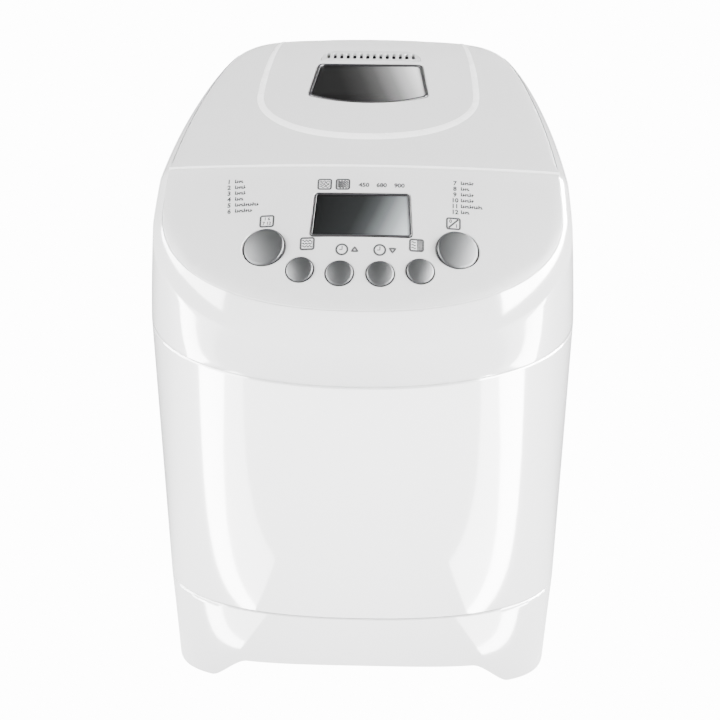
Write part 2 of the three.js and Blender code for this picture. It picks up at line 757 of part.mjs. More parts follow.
// ---------------------------------------------------------------- oven and pan
const CHAMBER_FRONT = CHAMBER_Y - CHAMBER_HALF;
const SHEET = 1.5;                        // chamber's sheet metal
const ELEMENT = { z: 86, radius: 3.2, leadX: 12, leadLength: 88, bend: 18, leadBend: 4 };
const SENSOR = { x: 30, z: 118, radius: 3 };

function ovenChamber() {
  const top = DECK_Z - DECK_THICK - CLEAR;
  const body = plate(chamberSquare(0), top - CHAMBER_FLOOR_Z, 0, CHAMBER_Y, CHAMBER_FLOOR_Z);
  const flange = plate(chamberSquare(3.5), SHEET, 0, CHAMBER_Y, top - SHEET);
  const hollow = plate(chamberSquare(-SHEET), 300, 0, CHAMBER_Y, CHAMBER_FLOOR_Z + SHEET);
  const shaftHole = cylinder(14, 20, 0, CHAMBER_Y, CHAMBER_FLOOR_Z - 10);
  const sensorHole = rodAlongY(SENSOR.radius + CLEAR, 40, SENSOR.x, CHAMBER_FRONT, SENSOR.z);
  const elementHoles = [-1, 1].map((side) => (
    rodAlongY(ELEMENT.radius + 1, 40, side * ELEMENT.leadX, CHAMBER_FRONT, ELEMENT.z)
  ));
  return cut(join(body, flange), hollow, shaftHole, sensorHole, ...elementHoles);
}

// A path through plan corners at one height, each corner rounded by its own bend length.
function roundedPath(corners, bends, z) {
  const path = new THREE.CurvePath();
  const at = corners.map(([x, y]) => new THREE.Vector3(x, y, z));
  let from = at[0];
  for (let i = 1; i < at.length - 1; i += 1) {
    const into = at[i].clone().sub(at[i - 1]).normalize();
    const out = at[i + 1].clone().sub(at[i]).normalize();
    const start = at[i].clone().addScaledVector(into, -bends[i - 1]);
    const end = at[i].clone().addScaledVector(out, bends[i - 1]);
    path.add(new THREE.LineCurve3(from, start));
    path.add(new THREE.QuadraticBezierCurve3(start, at[i], end));
    from = end;
  }
  path.add(new THREE.LineCurve3(from, at[at.length - 1]));
  return path;
}

function heatingElement() {
  const half = CHAMBER_HALF - 6.6;
  const rear = CHAMBER_Y + half;
  const front = CHAMBER_Y - half;
  const lead = CHAMBER_Y - ELEMENT.leadLength;
  const { leadX, bend, leadBend, radius } = ELEMENT;
  const corners = [
    [leadX, lead], [leadX, front], [half, front], [half, rear],
    [-half, rear], [-half, front], [-leadX, front], [-leadX, lead],
  ];
  const path = roundedPath(corners, [leadBend, bend, bend, bend, bend, leadBend], ELEMENT.z);
  return wire(path, radius, 40, 6);
}

function temperatureSensor() {
  const probe = rodAlongY(SENSOR.radius, 22, SENSOR.x, CHAMBER_FRONT - 3, SENSOR.z);
  return join(probe, rodAlongY(8, 3, SENSOR.x, CHAMBER_FRONT - 2, SENSOR.z));
}

const SEAT_RADIUS = 33;
const HANDLE_Z = PAN_TOP_Z + 7;
const HANDLE_LENGTH = 56;

function panSeat() {
  return tube(SEAT_RADIUS, SEAT_RADIUS - 3, 9, 0, CHAMBER_Y, CHAMBER_FLOOR_Z + 1.5 + CLEAR, 24);
}

function breadPan() {
  const square = (grow) => roundedRect(PAN_HALF, PAN_HALF, 18, grow);
  const body = plate(square(0), PAN_TOP_Z - PAN_FLOOR_Z, 0, CHAMBER_Y, PAN_FLOOR_Z);
  const rim = plate(square(2.5), 4, 0, CHAMBER_Y, PAN_TOP_Z - 4);
  const footRadius = SEAT_RADIUS - 3.6;
  const foot = tube(footRadius, footRadius - 2.2, 12, 0, CHAMBER_Y, CHAMBER_FLOOR_Z + 4, 24);
  const earX = PAN_HALF - 1;
  const ears = [-1, 1].map((side) => box(2, 14, 14, side * earX, CHAMBER_Y, PAN_TOP_Z - 1));
  const earHoles = cylinder(2 + CLEAR, 300, 0, 0, -150, 16).rotateY(Math.PI / 2);
  earHoles.translate(0, CHAMBER_Y, HANDLE_Z);
  const hollow = plate(square(-2), 300, 0, CHAMBER_Y, PAN_FLOOR_Z + 2);
  const spindleHole = cylinder(4.6, 30, 0, CHAMBER_Y, PAN_FLOOR_Z - 10);
  const shell = cut(join(body, rim, foot), hollow, spindleHole);
  return cut(join(shell, ...ears), earHoles);
}

function panHandle() {
  const leg = PAN_HALF - 6;
  const far = CHAMBER_Y + HANDLE_LENGTH;
  const corners = [
    [-leg - 6, CHAMBER_Y], [-leg, CHAMBER_Y], [-leg, far],
    [leg, far], [leg, CHAMBER_Y], [leg + 6, CHAMBER_Y],
  ];
  return wire(roundedPath(corners, [2.5, 24, 24, 2.5], HANDLE_Z), 1.9, 30, 6);
}

// ---------------------------------------------------------------- kneading drive
const DOG_Z = CHAMBER_FLOOR_Z + 3;

const SHAFT_LOW_Z = PULLEY_Z + PULLEY_WIDTH + CLEAR;

function driveShaft() {
  return cylinder(4, DOG_Z - CLEAR - SHAFT_LOW_Z, 0, CHAMBER_Y, SHAFT_LOW_Z);
}

function driveDog() {
  const disc = cylinder(11, 3, 0, CHAMBER_Y, DOG_Z);
  const posts = [-1, 1].map((side) => cylinder(2.4, 8, side * 7.6, CHAMBER_Y, DOG_Z + 1, 12));
  return join(disc, ...posts);
}

function shaftBearing() {
  const body = tube(12, 4.4, 18, 0, CHAMBER_Y, 38.5);
  return join(body, tube(20, 4.4, 3, 0, CHAMBER_Y, 47.4));
}

function grooved(radius, width) {
  return [
    [0, 0], [radius + 1.5, 0], [radius + 1.5, 1], [radius, 1.4],
    [radius, width - 1.4], [radius + 1.5, width - 1], [radius + 1.5, width], [0, width],
  ];
}

function drivenPulley() {
  return lathe(grooved(DRIVEN_RADIUS, PULLEY_WIDTH), 28).translate(0, CHAMBER_Y, PULLEY_Z);
}

function motorPulley() {
  return lathe(grooved(PINION_RADIUS, PULLEY_WIDTH), 16).translate(0, MOTOR_Y, PULLEY_Z);
}

// The belt's loop: an arc around each pulley joined by the two outer tangents.
function beltLoop(offset) {
  const big = DRIVEN_RADIUS + offset;
  const small = PINION_RADIUS + offset;
  const lean = Math.asin((big - small) / (CHAMBER_Y - MOTOR_Y));
  const loop = new THREE.Path();
  loop.absarc(0, CHAMBER_Y, big, -lean, Math.PI + lean, false);
  loop.absarc(0, MOTOR_Y, small, Math.PI + lean, 2 * Math.PI - lean, false);
  loop.closePath();
  return loop;
}

function driveBelt() {
  const outer = new THREE.Shape(beltLoop(CLEAR + 1.8).getPoints(12));
  outer.holes.push(new THREE.Path(beltLoop(CLEAR).getPoints(12)));
  return plate(outer, PULLEY_WIDTH - 3.6, 0, 0, PULLEY_Z + 1.8);
}

const CHASSIS_Z = 42;

function chassisPlate() {
  const sheet = new THREE.Shape();
  sheet.moveTo(-42, -128);
  sheet.lineTo(42, -128);
  sheet.lineTo(74, -50);
  sheet.lineTo(74, 108);
  sheet.lineTo(-74, 108);
  sheet.lineTo(-74, -50);
  sheet.closePath();
  const legZ = FLOOR_Z + FLOOR_THICK + CLEAR;
  const legs = [[-60, 96], [60, 96], [-60, -40], [60, -40]]
    .map(([x, y]) => cylinder(4, CHASSIS_Z - legZ + 1, x, y, legZ, 12));
  return cut(
    join(plate(sheet, 2, 0, 0, CHASSIS_Z), ...legs),
    cylinder(12 + CLEAR, 20, 0, CHAMBER_Y, CHASSIS_Z - 10),
    cylinder(8, 20, 0, MOTOR_Y, CHASSIS_Z - 10),
  );
}

const MOTOR_Z = CHASSIS_Z + 2 + CLEAR;

function motorBody() {
  const profile = [
    [4.3, 0], [14, 0], [MOTOR_RADIUS - 3, 3], [MOTOR_RADIUS, 8], [MOTOR_RADIUS, 56],
    [MOTOR_RADIUS - 4, 62], [14, 66], [4.3, 66], [4.3, 0],
  ];
  return lathe(profile, 24).translate(0, MOTOR_Y, MOTOR_Z);
}

function motorShaft() {
  return cylinder(3.9, MOTOR_Z + 72 - SHAFT_LOW_Z, 0, MOTOR_Y, SHAFT_LOW_Z);
}

function motorCapacitor() {
  return cylinder(13, 46, -58, -84, CHASSIS_Z + 2 + CLEAR);
}

function powerBoard() {
  const board = box(1.6, 60, 64, 62, -72, 62);
  const relay = box(14, 18, 16, 54.5, -80, 84);
  const choke = box(10, 14, 14, 56.5, -56, 82);
  return join(board, relay, choke);
}

function powerInlet() {
  const profile = [
    [3.6, -14], [INLET.radius, -14], [INLET.radius, 3], [INLET.radius + 2.5, 3.4],
    [INLET.radius + 2, 6], [4.4, 6.4], [3.6, 6.4], [3.6, -14],
  ];
  const gland = new THREE.LatheGeometry(profile.map(([r, y]) => new THREE.Vector2(r, y)), 16);
  return gland.translate(INLET.x, inletFaceY(), INLET.z);
}

function inletFaceY() {
  const share = (INLET.z - BASE_SEAM_Z) / (COLLAR_SEAM_Z - BASE_SEAM_Z);
  const plan = blendPlans(SEAM_PLAN, WAIST_PLAN, share);
  return plan.rear - REAR_BOW * INLET.x ** 2 - 0.6;
}

// ---------------------------------------------------------------- kneading parts in the pan
function panCoupling() {
  return join(cylinder(5, 4.2, 0, CHAMBER_Y, 67.5), box(4.6, 18, 4.2, 0, CHAMBER_Y, 67.5));
}

function panSpindle() {
  return cylinder(4, 24.5, 0, CHAMBER_Y, 72);
}

function spindleSeal() {
  return tube(9, 4.6, 4, 0, CHAMBER_Y, PAN_FLOOR_Z + 2 + CLEAR);
}

function kneadingPaddle() {
  const low = PAN_FLOOR_Z + 8;
  const hub = cylinder(8, 18, 0, CHAMBER_Y, low);
  const blade = new THREE.Shape();
  blade.moveTo(4, -1.6);
  blade.lineTo(38, -1.6);
  blade.quadraticCurveTo(42, 0, 38, 1.6);
  blade.lineTo(4, 1.6);
  blade.closePath();
  const root = plate(blade, 8, 0, CHAMBER_Y, low);
  const fin = plate(roundedRect(17, 1.6, 1.5), 26, 20, CHAMBER_Y, low);
  return cut(join(hub, root, fin), cylinder(4 + CLEAR, 15, 0, CHAMBER_Y, low - 0.5, 24));
}

// ---------------------------------------------------------------- small parts
function rubberFoot({ x, y }) {
  return cylinder(8.5, FOOT_HEIGHT, x, y, 0, 20);
}

function baseScrew({ x, y }) {
  const screwX = x * SCREW_INSET;
  return join(cylinder(3, 2, screwX, y, FLOOR_Z - 2.3, 8), cylinder(1.4, 12, screwX, y, FLOOR_Z - 1, 8));
}

// ---------------------------------------------------------------- assembly
addPart('base_tray', baseTray(), COLOR.shell, FINISH.gloss);
addPart('outer_wall', outerWall(), COLOR.shell, FINISH.gloss);
addPart('top_collar', topCollar(), COLOR.shell, FINISH.gloss);
addPart('control_panel', controlPanel(), COLOR.top, FINISH.satin);
addPart('display_lens', displayLens(), COLOR.glass, FINISH.gloss);
addPart('display_module', displayModule(), COLOR.dark, FINISH.satin);
addPart('control_board', controlBoard(), COLOR.board, FINISH.satin);
for (const button of BUTTONS) {
  addPart(button.name, buttonCap(button), COLOR.button, FINISH.satin);
}
addPart('lid_shell', lidShell(), COLOR.top, FINISH.satin);
addPart('lid_trim', lidTrim(), COLOR.white, FINISH.gloss);
addPart('window_frame', windowFrame(), COLOR.dark, FINISH.gloss);
addPart('window_glass', windowGlass(), COLOR.glass, FINISH.gloss);
addPart('vent_grille', ventGrille(), COLOR.top, FINISH.satin);
addPart('lid_liner', lidLiner(), COLOR.steel, FINISH.metal);
addPart('lid_gasket', lidGasket(), COLOR.rubber, FINISH.rubber);
addPart('hinge_pin_left', hingePin(-1), COLOR.steel, FINISH.metal);
addPart('hinge_pin_right', hingePin(1), COLOR.steel, FINISH.metal);
addPart('oven_chamber', ovenChamber(), COLOR.steel, FINISH.metal);
addPart('heating_element', heatingElement(), COLOR.coated, FINISH.metal);
addPart('temperature_sensor', temperatureSensor(), COLOR.steel, FINISH.metal);
addPart('pan_seat', panSeat(), COLOR.steel, FINISH.metal);
addPart('bread_pan', breadPan(), COLOR.coated, FINISH.satin);
addPart('pan_handle', panHandle(), COLOR.steel, FINISH.metal);
addPart('pan_coupling', panCoupling(), COLOR.steel, FINISH.metal);
addPart('pan_spindle', panSpindle(), COLOR.steel, FINISH.metal);
addPart('spindle_seal', spindleSeal(), COLOR.rubber, FINISH.rubber);
addPart('kneading_paddle', kneadingPaddle(), COLOR.coated, FINISH.satin);
addPart('drive_shaft', driveShaft(), COLOR.steel, FINISH.metal);
addPart('drive_dog', driveDog(), COLOR.steel, FINISH.metal);
addPart('shaft_bearing', shaftBearing(), COLOR.copper, FINISH.metal);
addPart('driven_pulley', drivenPulley(), COLOR.dark, FINISH.satin);
addPart('drive_belt', driveBelt(), COLOR.rubber, FINISH.rubber);
addPart('motor_pulley', motorPulley(), COLOR.steel, FINISH.metal);
addPart('motor_body', motorBody(), COLOR.steel, FINISH.metal);
addPart('motor_shaft', motorShaft(), COLOR.steel, FINISH.metal);
addPart('chassis_plate', chassisPlate(), COLOR.steel, FINISH.metal);
addPart('motor_capacitor', motorCapacitor(), COLOR.shell, FINISH.satin);
addPart('power_board', powerBoard(), COLOR.board, FINISH.satin);
addPart('power_inlet', powerInlet(), COLOR.rubber, FINISH.rubber);
for (const spot of FOOT_SPOTS) {
  addPart(`rubber_foot_${spot.name}`, rubberFoot(spot), COLOR.rubber, FINISH.rubber);
  addPart(`base_screw_${spot.name}`, baseScrew(spot), COLOR.steel, FINISH.metal);
}

export default machine;
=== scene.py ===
"""Looks of the bread machine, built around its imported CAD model.

Shapes are worked out in millimetres from the same plan outlines as the CAD part, and
become metres in add_mesh(). +Z is up and the control panel faces -Y.
"""

import math

import bmesh
import bpy
from mathutils import Matrix, Quaternion, Vector, geometry


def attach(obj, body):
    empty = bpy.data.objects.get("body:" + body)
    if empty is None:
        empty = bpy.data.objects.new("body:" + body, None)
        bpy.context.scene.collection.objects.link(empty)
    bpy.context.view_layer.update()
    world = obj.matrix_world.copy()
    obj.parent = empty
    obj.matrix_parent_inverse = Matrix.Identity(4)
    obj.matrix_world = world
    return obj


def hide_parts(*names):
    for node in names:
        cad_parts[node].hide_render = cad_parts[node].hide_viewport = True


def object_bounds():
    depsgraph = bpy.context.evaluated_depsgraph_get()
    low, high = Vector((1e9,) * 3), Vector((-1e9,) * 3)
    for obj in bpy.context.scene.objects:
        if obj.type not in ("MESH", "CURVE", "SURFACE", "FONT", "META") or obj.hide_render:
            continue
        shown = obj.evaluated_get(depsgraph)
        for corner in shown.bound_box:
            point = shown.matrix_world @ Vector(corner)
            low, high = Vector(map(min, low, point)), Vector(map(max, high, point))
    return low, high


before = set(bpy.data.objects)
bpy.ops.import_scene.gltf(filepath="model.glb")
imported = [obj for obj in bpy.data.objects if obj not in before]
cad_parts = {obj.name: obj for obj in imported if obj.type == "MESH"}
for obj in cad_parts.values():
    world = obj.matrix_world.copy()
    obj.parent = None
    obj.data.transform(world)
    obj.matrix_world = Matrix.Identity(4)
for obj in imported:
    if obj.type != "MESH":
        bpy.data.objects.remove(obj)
CAD_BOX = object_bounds()

# ------------------------------------------------------------------ driving sizes, mm
MM = 0.001
LOW, HIGH = (corner / MM for corner in map(Vector, CAD_BOX))
WIDTH = HIGH.x - LOW.x
HEIGHT = HIGH.z - LOW.z
FRONT = LOW.y
REAR = HIGH.y
WALL = 2.6
CLEAR = 0.3
SEAM = 0.4
BASE_SEAM_Z = 50
COLLAR_SEAM_Z = 215.6
SPLIT_Y = FRONT + 100
SPLIT_Z = HEIGHT - 3.4
PANEL_LENGTH = 84
PANEL_DROP = 40
CROWN = 3
DOME = 11
CROWN_HALF = 104
TOP_THICK = 2.5
DECK_Z = 262
DECK_THICK = 3
CHAMBER_Y = 38
CHAMBER_HALF = 76
CHAMBER_CORNER = 22
HINGE_Y = 138
HINGE_Z = 278
HINGE_X = 30
RIM_REAR_Z = 274
PANEL_FRONT = SPLIT_Y - PANEL_LENGTH

# Plan outlines of the housing at its heights, as in the CAD part.
FOOT_PLAN = {"half": 107.5, "front": -136, "station": -88, "power": 4.4, "rear": 147}
SEAM_PLAN = {"half": 111.4, "front": -137.2, "station": -88.5, "power": 2.35, "rear": 149.5}
WAIST_PLAN = {"half": WIDTH / 2, "front": FRONT, "station": -78, "power": 2.15, "rear": REAR}
BAND_PLAN = {"half": 110.9, "front": -145, "station": -78, "power": 2.15, "rear": 150}
EDGE_PLAN = {"half": 105.6, "front": PANEL_FRONT, "station": -78, "power": 2.15, "rear": 145.5}
MOUTH_PLAN = {**EDGE_PLAN, "rear": 147.5}
REAR_POWER = 11
SIDE_BOW = 0.272
BOW_POWER = 1.38
REAR_BOW = 0.0046

# Steps round half an outline. The side turns into the rear corner at TURN_IN of its
# length, and the corner into the rear at TURN_OUT of the half width.
FRONT_STEPS = 60
SIDE_STEPS = 60
CORNER_STEPS = 16
REAR_STEPS = 12
TURN_IN = 0.68
TURN_OUT = 0.72


# ------------------------------------------------------------------ housing outlines
def rear_point(plan, across, along):
    x = plan["half"] * across * (1 - SIDE_BOW * along**BOW_POWER)
    reach = plan["rear"] - plan["station"]
    y = plan["station"] + reach * along - REAR_BOW * x * x * along**4
    return (x, y)


def front_point(plan, angle):
    across = max(math.sin(angle), 0) ** (2 / plan["power"])
    along = max(math.cos(angle), 0) ** (2 / plan["power"])
    return (plan["half"] * across, plan["station"] - (plan["station"] - plan["front"]) * along)


def plan_points(plan):
    """Anticlockwise outline of the housing seen from above, from the front centre round."""
    squared = lambda share: max(1 - share**REAR_POWER, 0) ** (1 / REAR_POWER)
    side = [front_point(plan, math.pi / 2 * i / FRONT_STEPS) for i in range(FRONT_STEPS + 1)]
    for i in range(1, SIDE_STEPS + 1):
        along = TURN_IN * i / SIDE_STEPS
        side.append(rear_point(plan, squared(along), along))
    first = math.asin(TURN_IN ** (REAR_POWER / 2))
    last = math.acos(TURN_OUT ** (REAR_POWER / 2))
    for i in range(1, CORNER_STEPS + 1):
        angle = first + (last - first) * i / CORNER_STEPS
        across = math.cos(angle) ** (2 / REAR_POWER)
        side.append(rear_point(plan, across, math.sin(angle) ** (2 / REAR_POWER)))
    for i in range(1, REAR_STEPS + 1):
        across = TURN_OUT * (1 - i / REAR_STEPS)
        side.append(rear_point(plan, across, squared(across)))
    return side + [(-x, y) for x, y in side[-2:0:-1]]


def inset(plan, amount):
    return {
        **plan,
        "half": plan["half"] - amount,
        "front": plan["front"] + amount,
        "rear": plan["rear"] - amount,
    }


def mix(low, high, share):
    return {key: low[key] + (high[key] - low[key]) * share for key in low}


def smoothstep(value, low, high):
    share = min(max((value - low) / (high - low), 0), 1)
    return share * share * (3 - 2 * share)


def ring(plan, height):
    """Points of a plan, each at height(x, y) or at one height."""
    level = height if callable(height) else lambda x, y: height
    return [(x, y, level(x, y)) for x, y in plan_points(plan)]


# ------------------------------------------------------------------ top surface
PANEL_STRAIGHT = 0.756  # share of the panel's drop that is a plain slope
LID_CREST_Y = 20
LID_REAR_POWER = 5.6
LID_REAR_FALL = 8.3
LID_REAR_REACH = 115
REAR_CROWN = 4


def top_z(x, y):
    across = (x / CROWN_HALF) ** 2
    forward = SPLIT_Y - y
    if forward > 0:
        share = forward / PANEL_LENGTH
        drop = PANEL_DROP * (PANEL_STRAIGHT * share + (1 - PANEL_STRAIGHT) * share**4)
        return SPLIT_Z - drop - (CROWN + DOME * share) * across
    if y < LID_CREST_Y:
        share = (LID_CREST_Y - y) / (LID_CREST_Y - SPLIT_Y)
        return HEIGHT - (HEIGHT - SPLIT_Z) * share**2 - CROWN * across
    share = (y - LID_CREST_Y) / LID_REAR_REACH
    return HEIGHT - LID_REAR_FALL * share**LID_REAR_POWER - (CROWN + REAR_CROWN * share**2) * across


def top_normal(x, y):
    step = 0.5
    slope_x = (top_z(x + step, y) - top_z(x - step, y)) / (2 * step)
    slope_y = (top_z(x, y + step) - top_z(x, y - step)) / (2 * step)
    return Vector((-slope_x, -slope_y, 1)).normalized()


RIM_BELOW = 1.2
RIM_LEVEL_Y = 110
RIM_TURN = (100, 132)  # where the rim leaves the lid's edge for the level rear wall


def rim_z(x, y):
    edge = top_z(x, min(y, RIM_LEVEL_Y)) - RIM_BELOW
    return edge + (RIM_REAR_Z - edge) * smoothstep(y, *RIM_TURN)


BAND_DROP_SIDE = 5.5
BAND_DROP_FRONT = 12.8
BAND_DROP_REAR = 3
BAND_DROP_REACH = 67


def band_drop(y):
    frontness = min(max((WAIST_PLAN["station"] - y) / BAND_DROP_REACH, 0), 1)
    rear = smoothstep(y, *RIM_TURN)
    front = BAND_DROP_SIDE + (BAND_DROP_FRONT - BAND_DROP_SIDE) * frontness
    return front * (1 - rear) + BAND_DROP_REAR * rear


# ------------------------------------------------------------------ meshes
def add_mesh(name, points, faces, body, material, replaces=(), smooth_angle=35):
    """A piece from points in mm, shaded smooth up to an angle, riding on a CAD body."""
    mesh = bpy.data.meshes.new(name)
    mesh.from_pydata([Vector(p) * MM for p in points], [], faces)
    mesh.validate()
    piece = bpy.data.objects.new(name, mesh)
    bpy.context.scene.collection.objects.link(piece)
    return finish_piece(piece, body, material, replaces, smooth_angle)


def finish_piece(piece, body, material, replaces=(), smooth_angle=35):
    shaded = bmesh.new()
    shaded.from_mesh(piece.data)
    bmesh.ops.recalc_face_normals(shaded, faces=shaded.faces)
    limit = math.radians(smooth_angle)
    for face in shaded.faces:
        face.smooth = True
    for edge in shaded.edges:
        edge.smooth = len(edge.link_faces) == 2 and edge.calc_face_angle(0) < limit
    shaded.to_mesh(piece.data)
    shaded.free()
    piece.data.materials.clear()
    piece.data.materials.append(material)
    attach(piece, body)
    if replaces:
        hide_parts(*replaces)
    return piece


def loft(rings, closed=False):
    """Points and faces of a skin over rings with equal counts; open lofts get fan caps."""
    count = len(rings[0])
    points = [p for row in rings for p in row]
    faces = []
    rows = len(rings) if closed else len(rings) - 1
    for r in range(rows):
        low = r * count
        high = (r + 1) % len(rings) * count
        for i in range(count):
            j = (i + 1) % count
            faces.append((low + i, low + j, high + j, high + i))
    if not closed:
        for row, flip in ((0, True), (len(rings) - 1, False)):
            middle = sum((Vector(p) for p in rings[row]), Vector()) / count
            points.append(tuple(middle))
            for i in range(count):
                pair = (row * count + i, row * count + (i + 1) % count)
                faces.append((*(pair[::-1] if flip else pair), len(points) - 1))
    return points, faces


def evaluated_mesh(source):
    depsgraph = bpy.context.evaluated_depsgraph_get()
    depsgraph.update()
    return bpy.data.meshes.new_from_object(source.evaluated_get(depsgraph))


def cut_out(points, faces, tools, name):
    """Mesh object of points and faces with the tool meshes cut away."""
    mesh = bpy.data.meshes.new(name)
    mesh.from_pydata([Vector(p) * MM for p in points], [], faces)
    piece = bpy.data.objects.new(name, mesh)
    bpy.context.scene.collection.objects.link(piece)
    for tool in tools:
        modifier = piece.modifiers.new("cut", "BOOLEAN")
        modifier.solver = "EXACT"
        modifier.operation = "DIFFERENCE"
        modifier.object = tool
    result = evaluated_mesh(piece)
    piece.modifiers.clear()
    piece.data = result
    for tool in tools:
        bpy.data.objects.remove(tool)
    return piece


def plate_mesh(name, outlines, low, high, bevel=0.0, resolution=3):
    """Object of a flat plate between two heights, from an outline and its holes."""
    curve = bpy.data.curves.new(name, "CURVE")
    curve.dimensions = "2D"
    curve.fill_mode = "BOTH"
    for outline in outlines:
        spline = curve.splines.new("POLY")
        spline.points.add(len(outline) - 1)
        for point, (x, y) in zip(spline.points, outline):
            point.co = (x * MM, y * MM, 0, 1)
        spline.use_cyclic_u = True
    curve.extrude = (high - low) / 2 * MM - bevel * MM
    curve.bevel_depth = bevel * MM
    curve.bevel_resolution = resolution
    curve.offset = -bevel * MM
    holder = bpy.data.objects.new(name + "_outline", curve)
    bpy.context.scene.collection.objects.link(holder)
    mesh = evaluated_mesh(holder)
    bpy.data.objects.remove(holder)
    mesh.transform(Matrix.Translation((0, 0, (low + high) / 2 * MM)))
    welded = bmesh.new()
    welded.from_mesh(mesh)
    bmesh.ops.remove_doubles(welded, verts=welded.verts, dist=0.00001)
    welded.to_mesh(mesh)
    welded.free()
    plate = bpy.data.objects.new(name, mesh)
    bpy.context.scene.collection.objects.link(plate)
    return plate


def lathe(profile, sides=48):
    """Rings about Z from (radius, z) pairs; the first and last radius may be 0."""
    rings = []
    for radius, z in profile:
        turn = [2 * math.pi * i / sides for i in range(sides)]
        rings.append([(max(radius, 0.01) * math.cos(a), max(radius, 0.01) * math.sin(a), z) for a in turn])
    return loft(rings)


def placed(points, matrix):
    return [tuple(matrix @ Vector(p)) for p in points]


def joined(*parts):
    """One point and face list from several."""
    points, faces = [], []
    for part_points, part_faces in parts:
        start = len(points)
        points += part_points
        faces += [tuple(start + i for i in face) for face in part_faces]
    return points, faces


def rounded_rect(half_x, half_y, radius, steps=8, centre=(0, 0)):
    outline = []
    for quarter, (sx, sy) in enumerate(((1, 1), (-1, 1), (-1, -1), (1, -1))):
        for i in range(steps + 1):
            angle = (quarter + i / steps) * math.pi / 2
            x = sx * (half_x - radius) + radius * math.cos(angle)
            y = sy * (half_y - radius) + radius * math.sin(angle)
            outline.append((centre[0] + x, centre[1] + y))
    return outline


def bezier(p0, p1, p2, p3, steps):
    points = []
    for i in range(steps):
        t = i / steps
        weights = ((1 - t) ** 3, 3 * t * (1 - t) ** 2, 3 * t * t * (1 - t), t**3)
        points.append(tuple(sum(w * p[k] for w, p in zip(weights, (p0, p1, p2, p3))) for k in (0, 1)))
    return points


# ------------------------------------------------------------------ materials
def shader(name):
    """A material with its Principled shader, node tree and object coordinates."""
    material = bpy.data.materials.new(name)
    material.use_nodes = True
    tree = material.node_tree
    surface = tree.nodes["Principled BSDF"]
    coordinates = tree.nodes.new("ShaderNodeTexCoord")
    return material, tree, surface, coordinates.outputs["Object"]


def noise(tree, place, scale, detail=3.0):
    node = tree.nodes.new("ShaderNodeTexNoise")
    node.inputs["Scale"].default_value = scale
    node.inputs["Detail"].default_value = detail
    tree.links.new(place, node.inputs["Vector"])
    return node.outputs["Fac"]


def ramp(tree, factor, stops):
    node = tree.nodes.new("ShaderNodeValToRGB")
    elements = node.color_ramp.elements
    while len(elements) < len(stops):
        elements.new(0.5)
    for element, (position, colour) in zip(elements, stops):
        element.position = position
        element.color = (*colour, 1)
    tree.links.new(factor, node.inputs["Fac"])
    return node.outputs["Color"]


def spread(tree, factor, low, high, start=0.0, end=1.0):
    """A factor that runs from start to end, mapped to low to high."""
    node = tree.nodes.new("ShaderNodeMapRange")
    limits = {"From Min": start, "From Max": end, "To Min": low, "To Max": high}
    for name, value in limits.items():
        node.inputs[name].default_value = value
    tree.links.new(factor, node.inputs["Value"])
    return node.outputs["Result"]


def bump(tree, surface, height, strength, distance):
    node = tree.nodes.new("ShaderNodeBump")
    node.inputs["Strength"].default_value = strength
    node.inputs["Distance"].default_value = distance
    tree.links.new(height, node.inputs["Height"])
    tree.links.new(node.outputs["Normal"], surface.inputs["Normal"])


def around(colour, amount):
    """Two colours just darker and just lighter than one."""
    return [tuple(min(max(c * k, 0), 1) for c in colour) for k in (1 - amount, 1 + amount)]


def moulded(name, colour, roughness, grain=900.0, depth=0.05, tint=0.015, coat=0.0, metallic=0.0):
    """Moulded or painted surface: faint mottling, a little uneven gloss and a fine grain."""
    material, tree, surface, place = shader(name)
    dark, light = around(colour, tint)
    mottle = ramp(tree, noise(tree, place, 18), [(0.3, dark), (0.7, light)])
    tree.links.new(mottle, surface.inputs["Base Color"])
    rough = spread(tree, noise(tree, place, 60), roughness * 0.85, roughness * 1.15)
    tree.links.new(rough, surface.inputs["Roughness"])
    surface.inputs["Metallic"].default_value = metallic
    surface.inputs["Coat Weight"].default_value = coat
    surface.inputs["Coat Roughness"].default_value = 0.06
    bump(tree, surface, noise(tree, place, grain, 2.0), depth, 0.0002)
    return material


def brushed(name, colour, roughness, axis=2, metallic=1.0):
    """Sheet or turned metal with fine lines across one axis."""
    material, tree, surface, place = shader(name)
    stretch = tree.nodes.new("ShaderNodeMapping")
    stretch.inputs["Scale"].default_value = [40 if i != axis else 2200 for i in range(3)]
    tree.links.new(place, stretch.inputs["Vector"])
    lines = noise(tree, stretch.outputs["Vector"], 1.0, 4.0)
    dark, light = around(colour, 0.12)
    tree.links.new(ramp(tree, lines, [(0.3, dark), (0.7, light)]), surface.inputs["Base Color"])
    tree.links.new(spread(tree, lines, roughness * 0.75, roughness * 1.3), surface.inputs["Roughness"])
    surface.inputs["Metallic"].default_value = metallic
    bump(tree, surface, lines, 0.08, 0.0002)
    return material


def painted_reflection_pane(name, stops, direction, roughness):
    """Dark pane with a painted reflection: its colour lightens along a direction, from low to high in mm."""
    material, tree, surface, place = shader(name)
    (axis, low, high) = direction
    along = tree.nodes.new("ShaderNodeVectorMath")
    along.operation = "DOT_PRODUCT"
    along.inputs[1].default_value = axis
    tree.links.new(place, along.inputs[0])
    scaled = spread(tree, along.outputs["Value"], 0, 1, low * MM, high * MM)
    # The sweep in the base colour is the painted reflection.
    tree.links.new(ramp(tree, scaled, stops), surface.inputs["Base Color"])
    rough = spread(tree, noise(tree, place, 40), roughness * 0.8, roughness * 1.2)
    tree.links.new(rough, surface.inputs["Roughness"])
    surface.inputs["Specular IOR Level"].default_value = 0.06
    return material


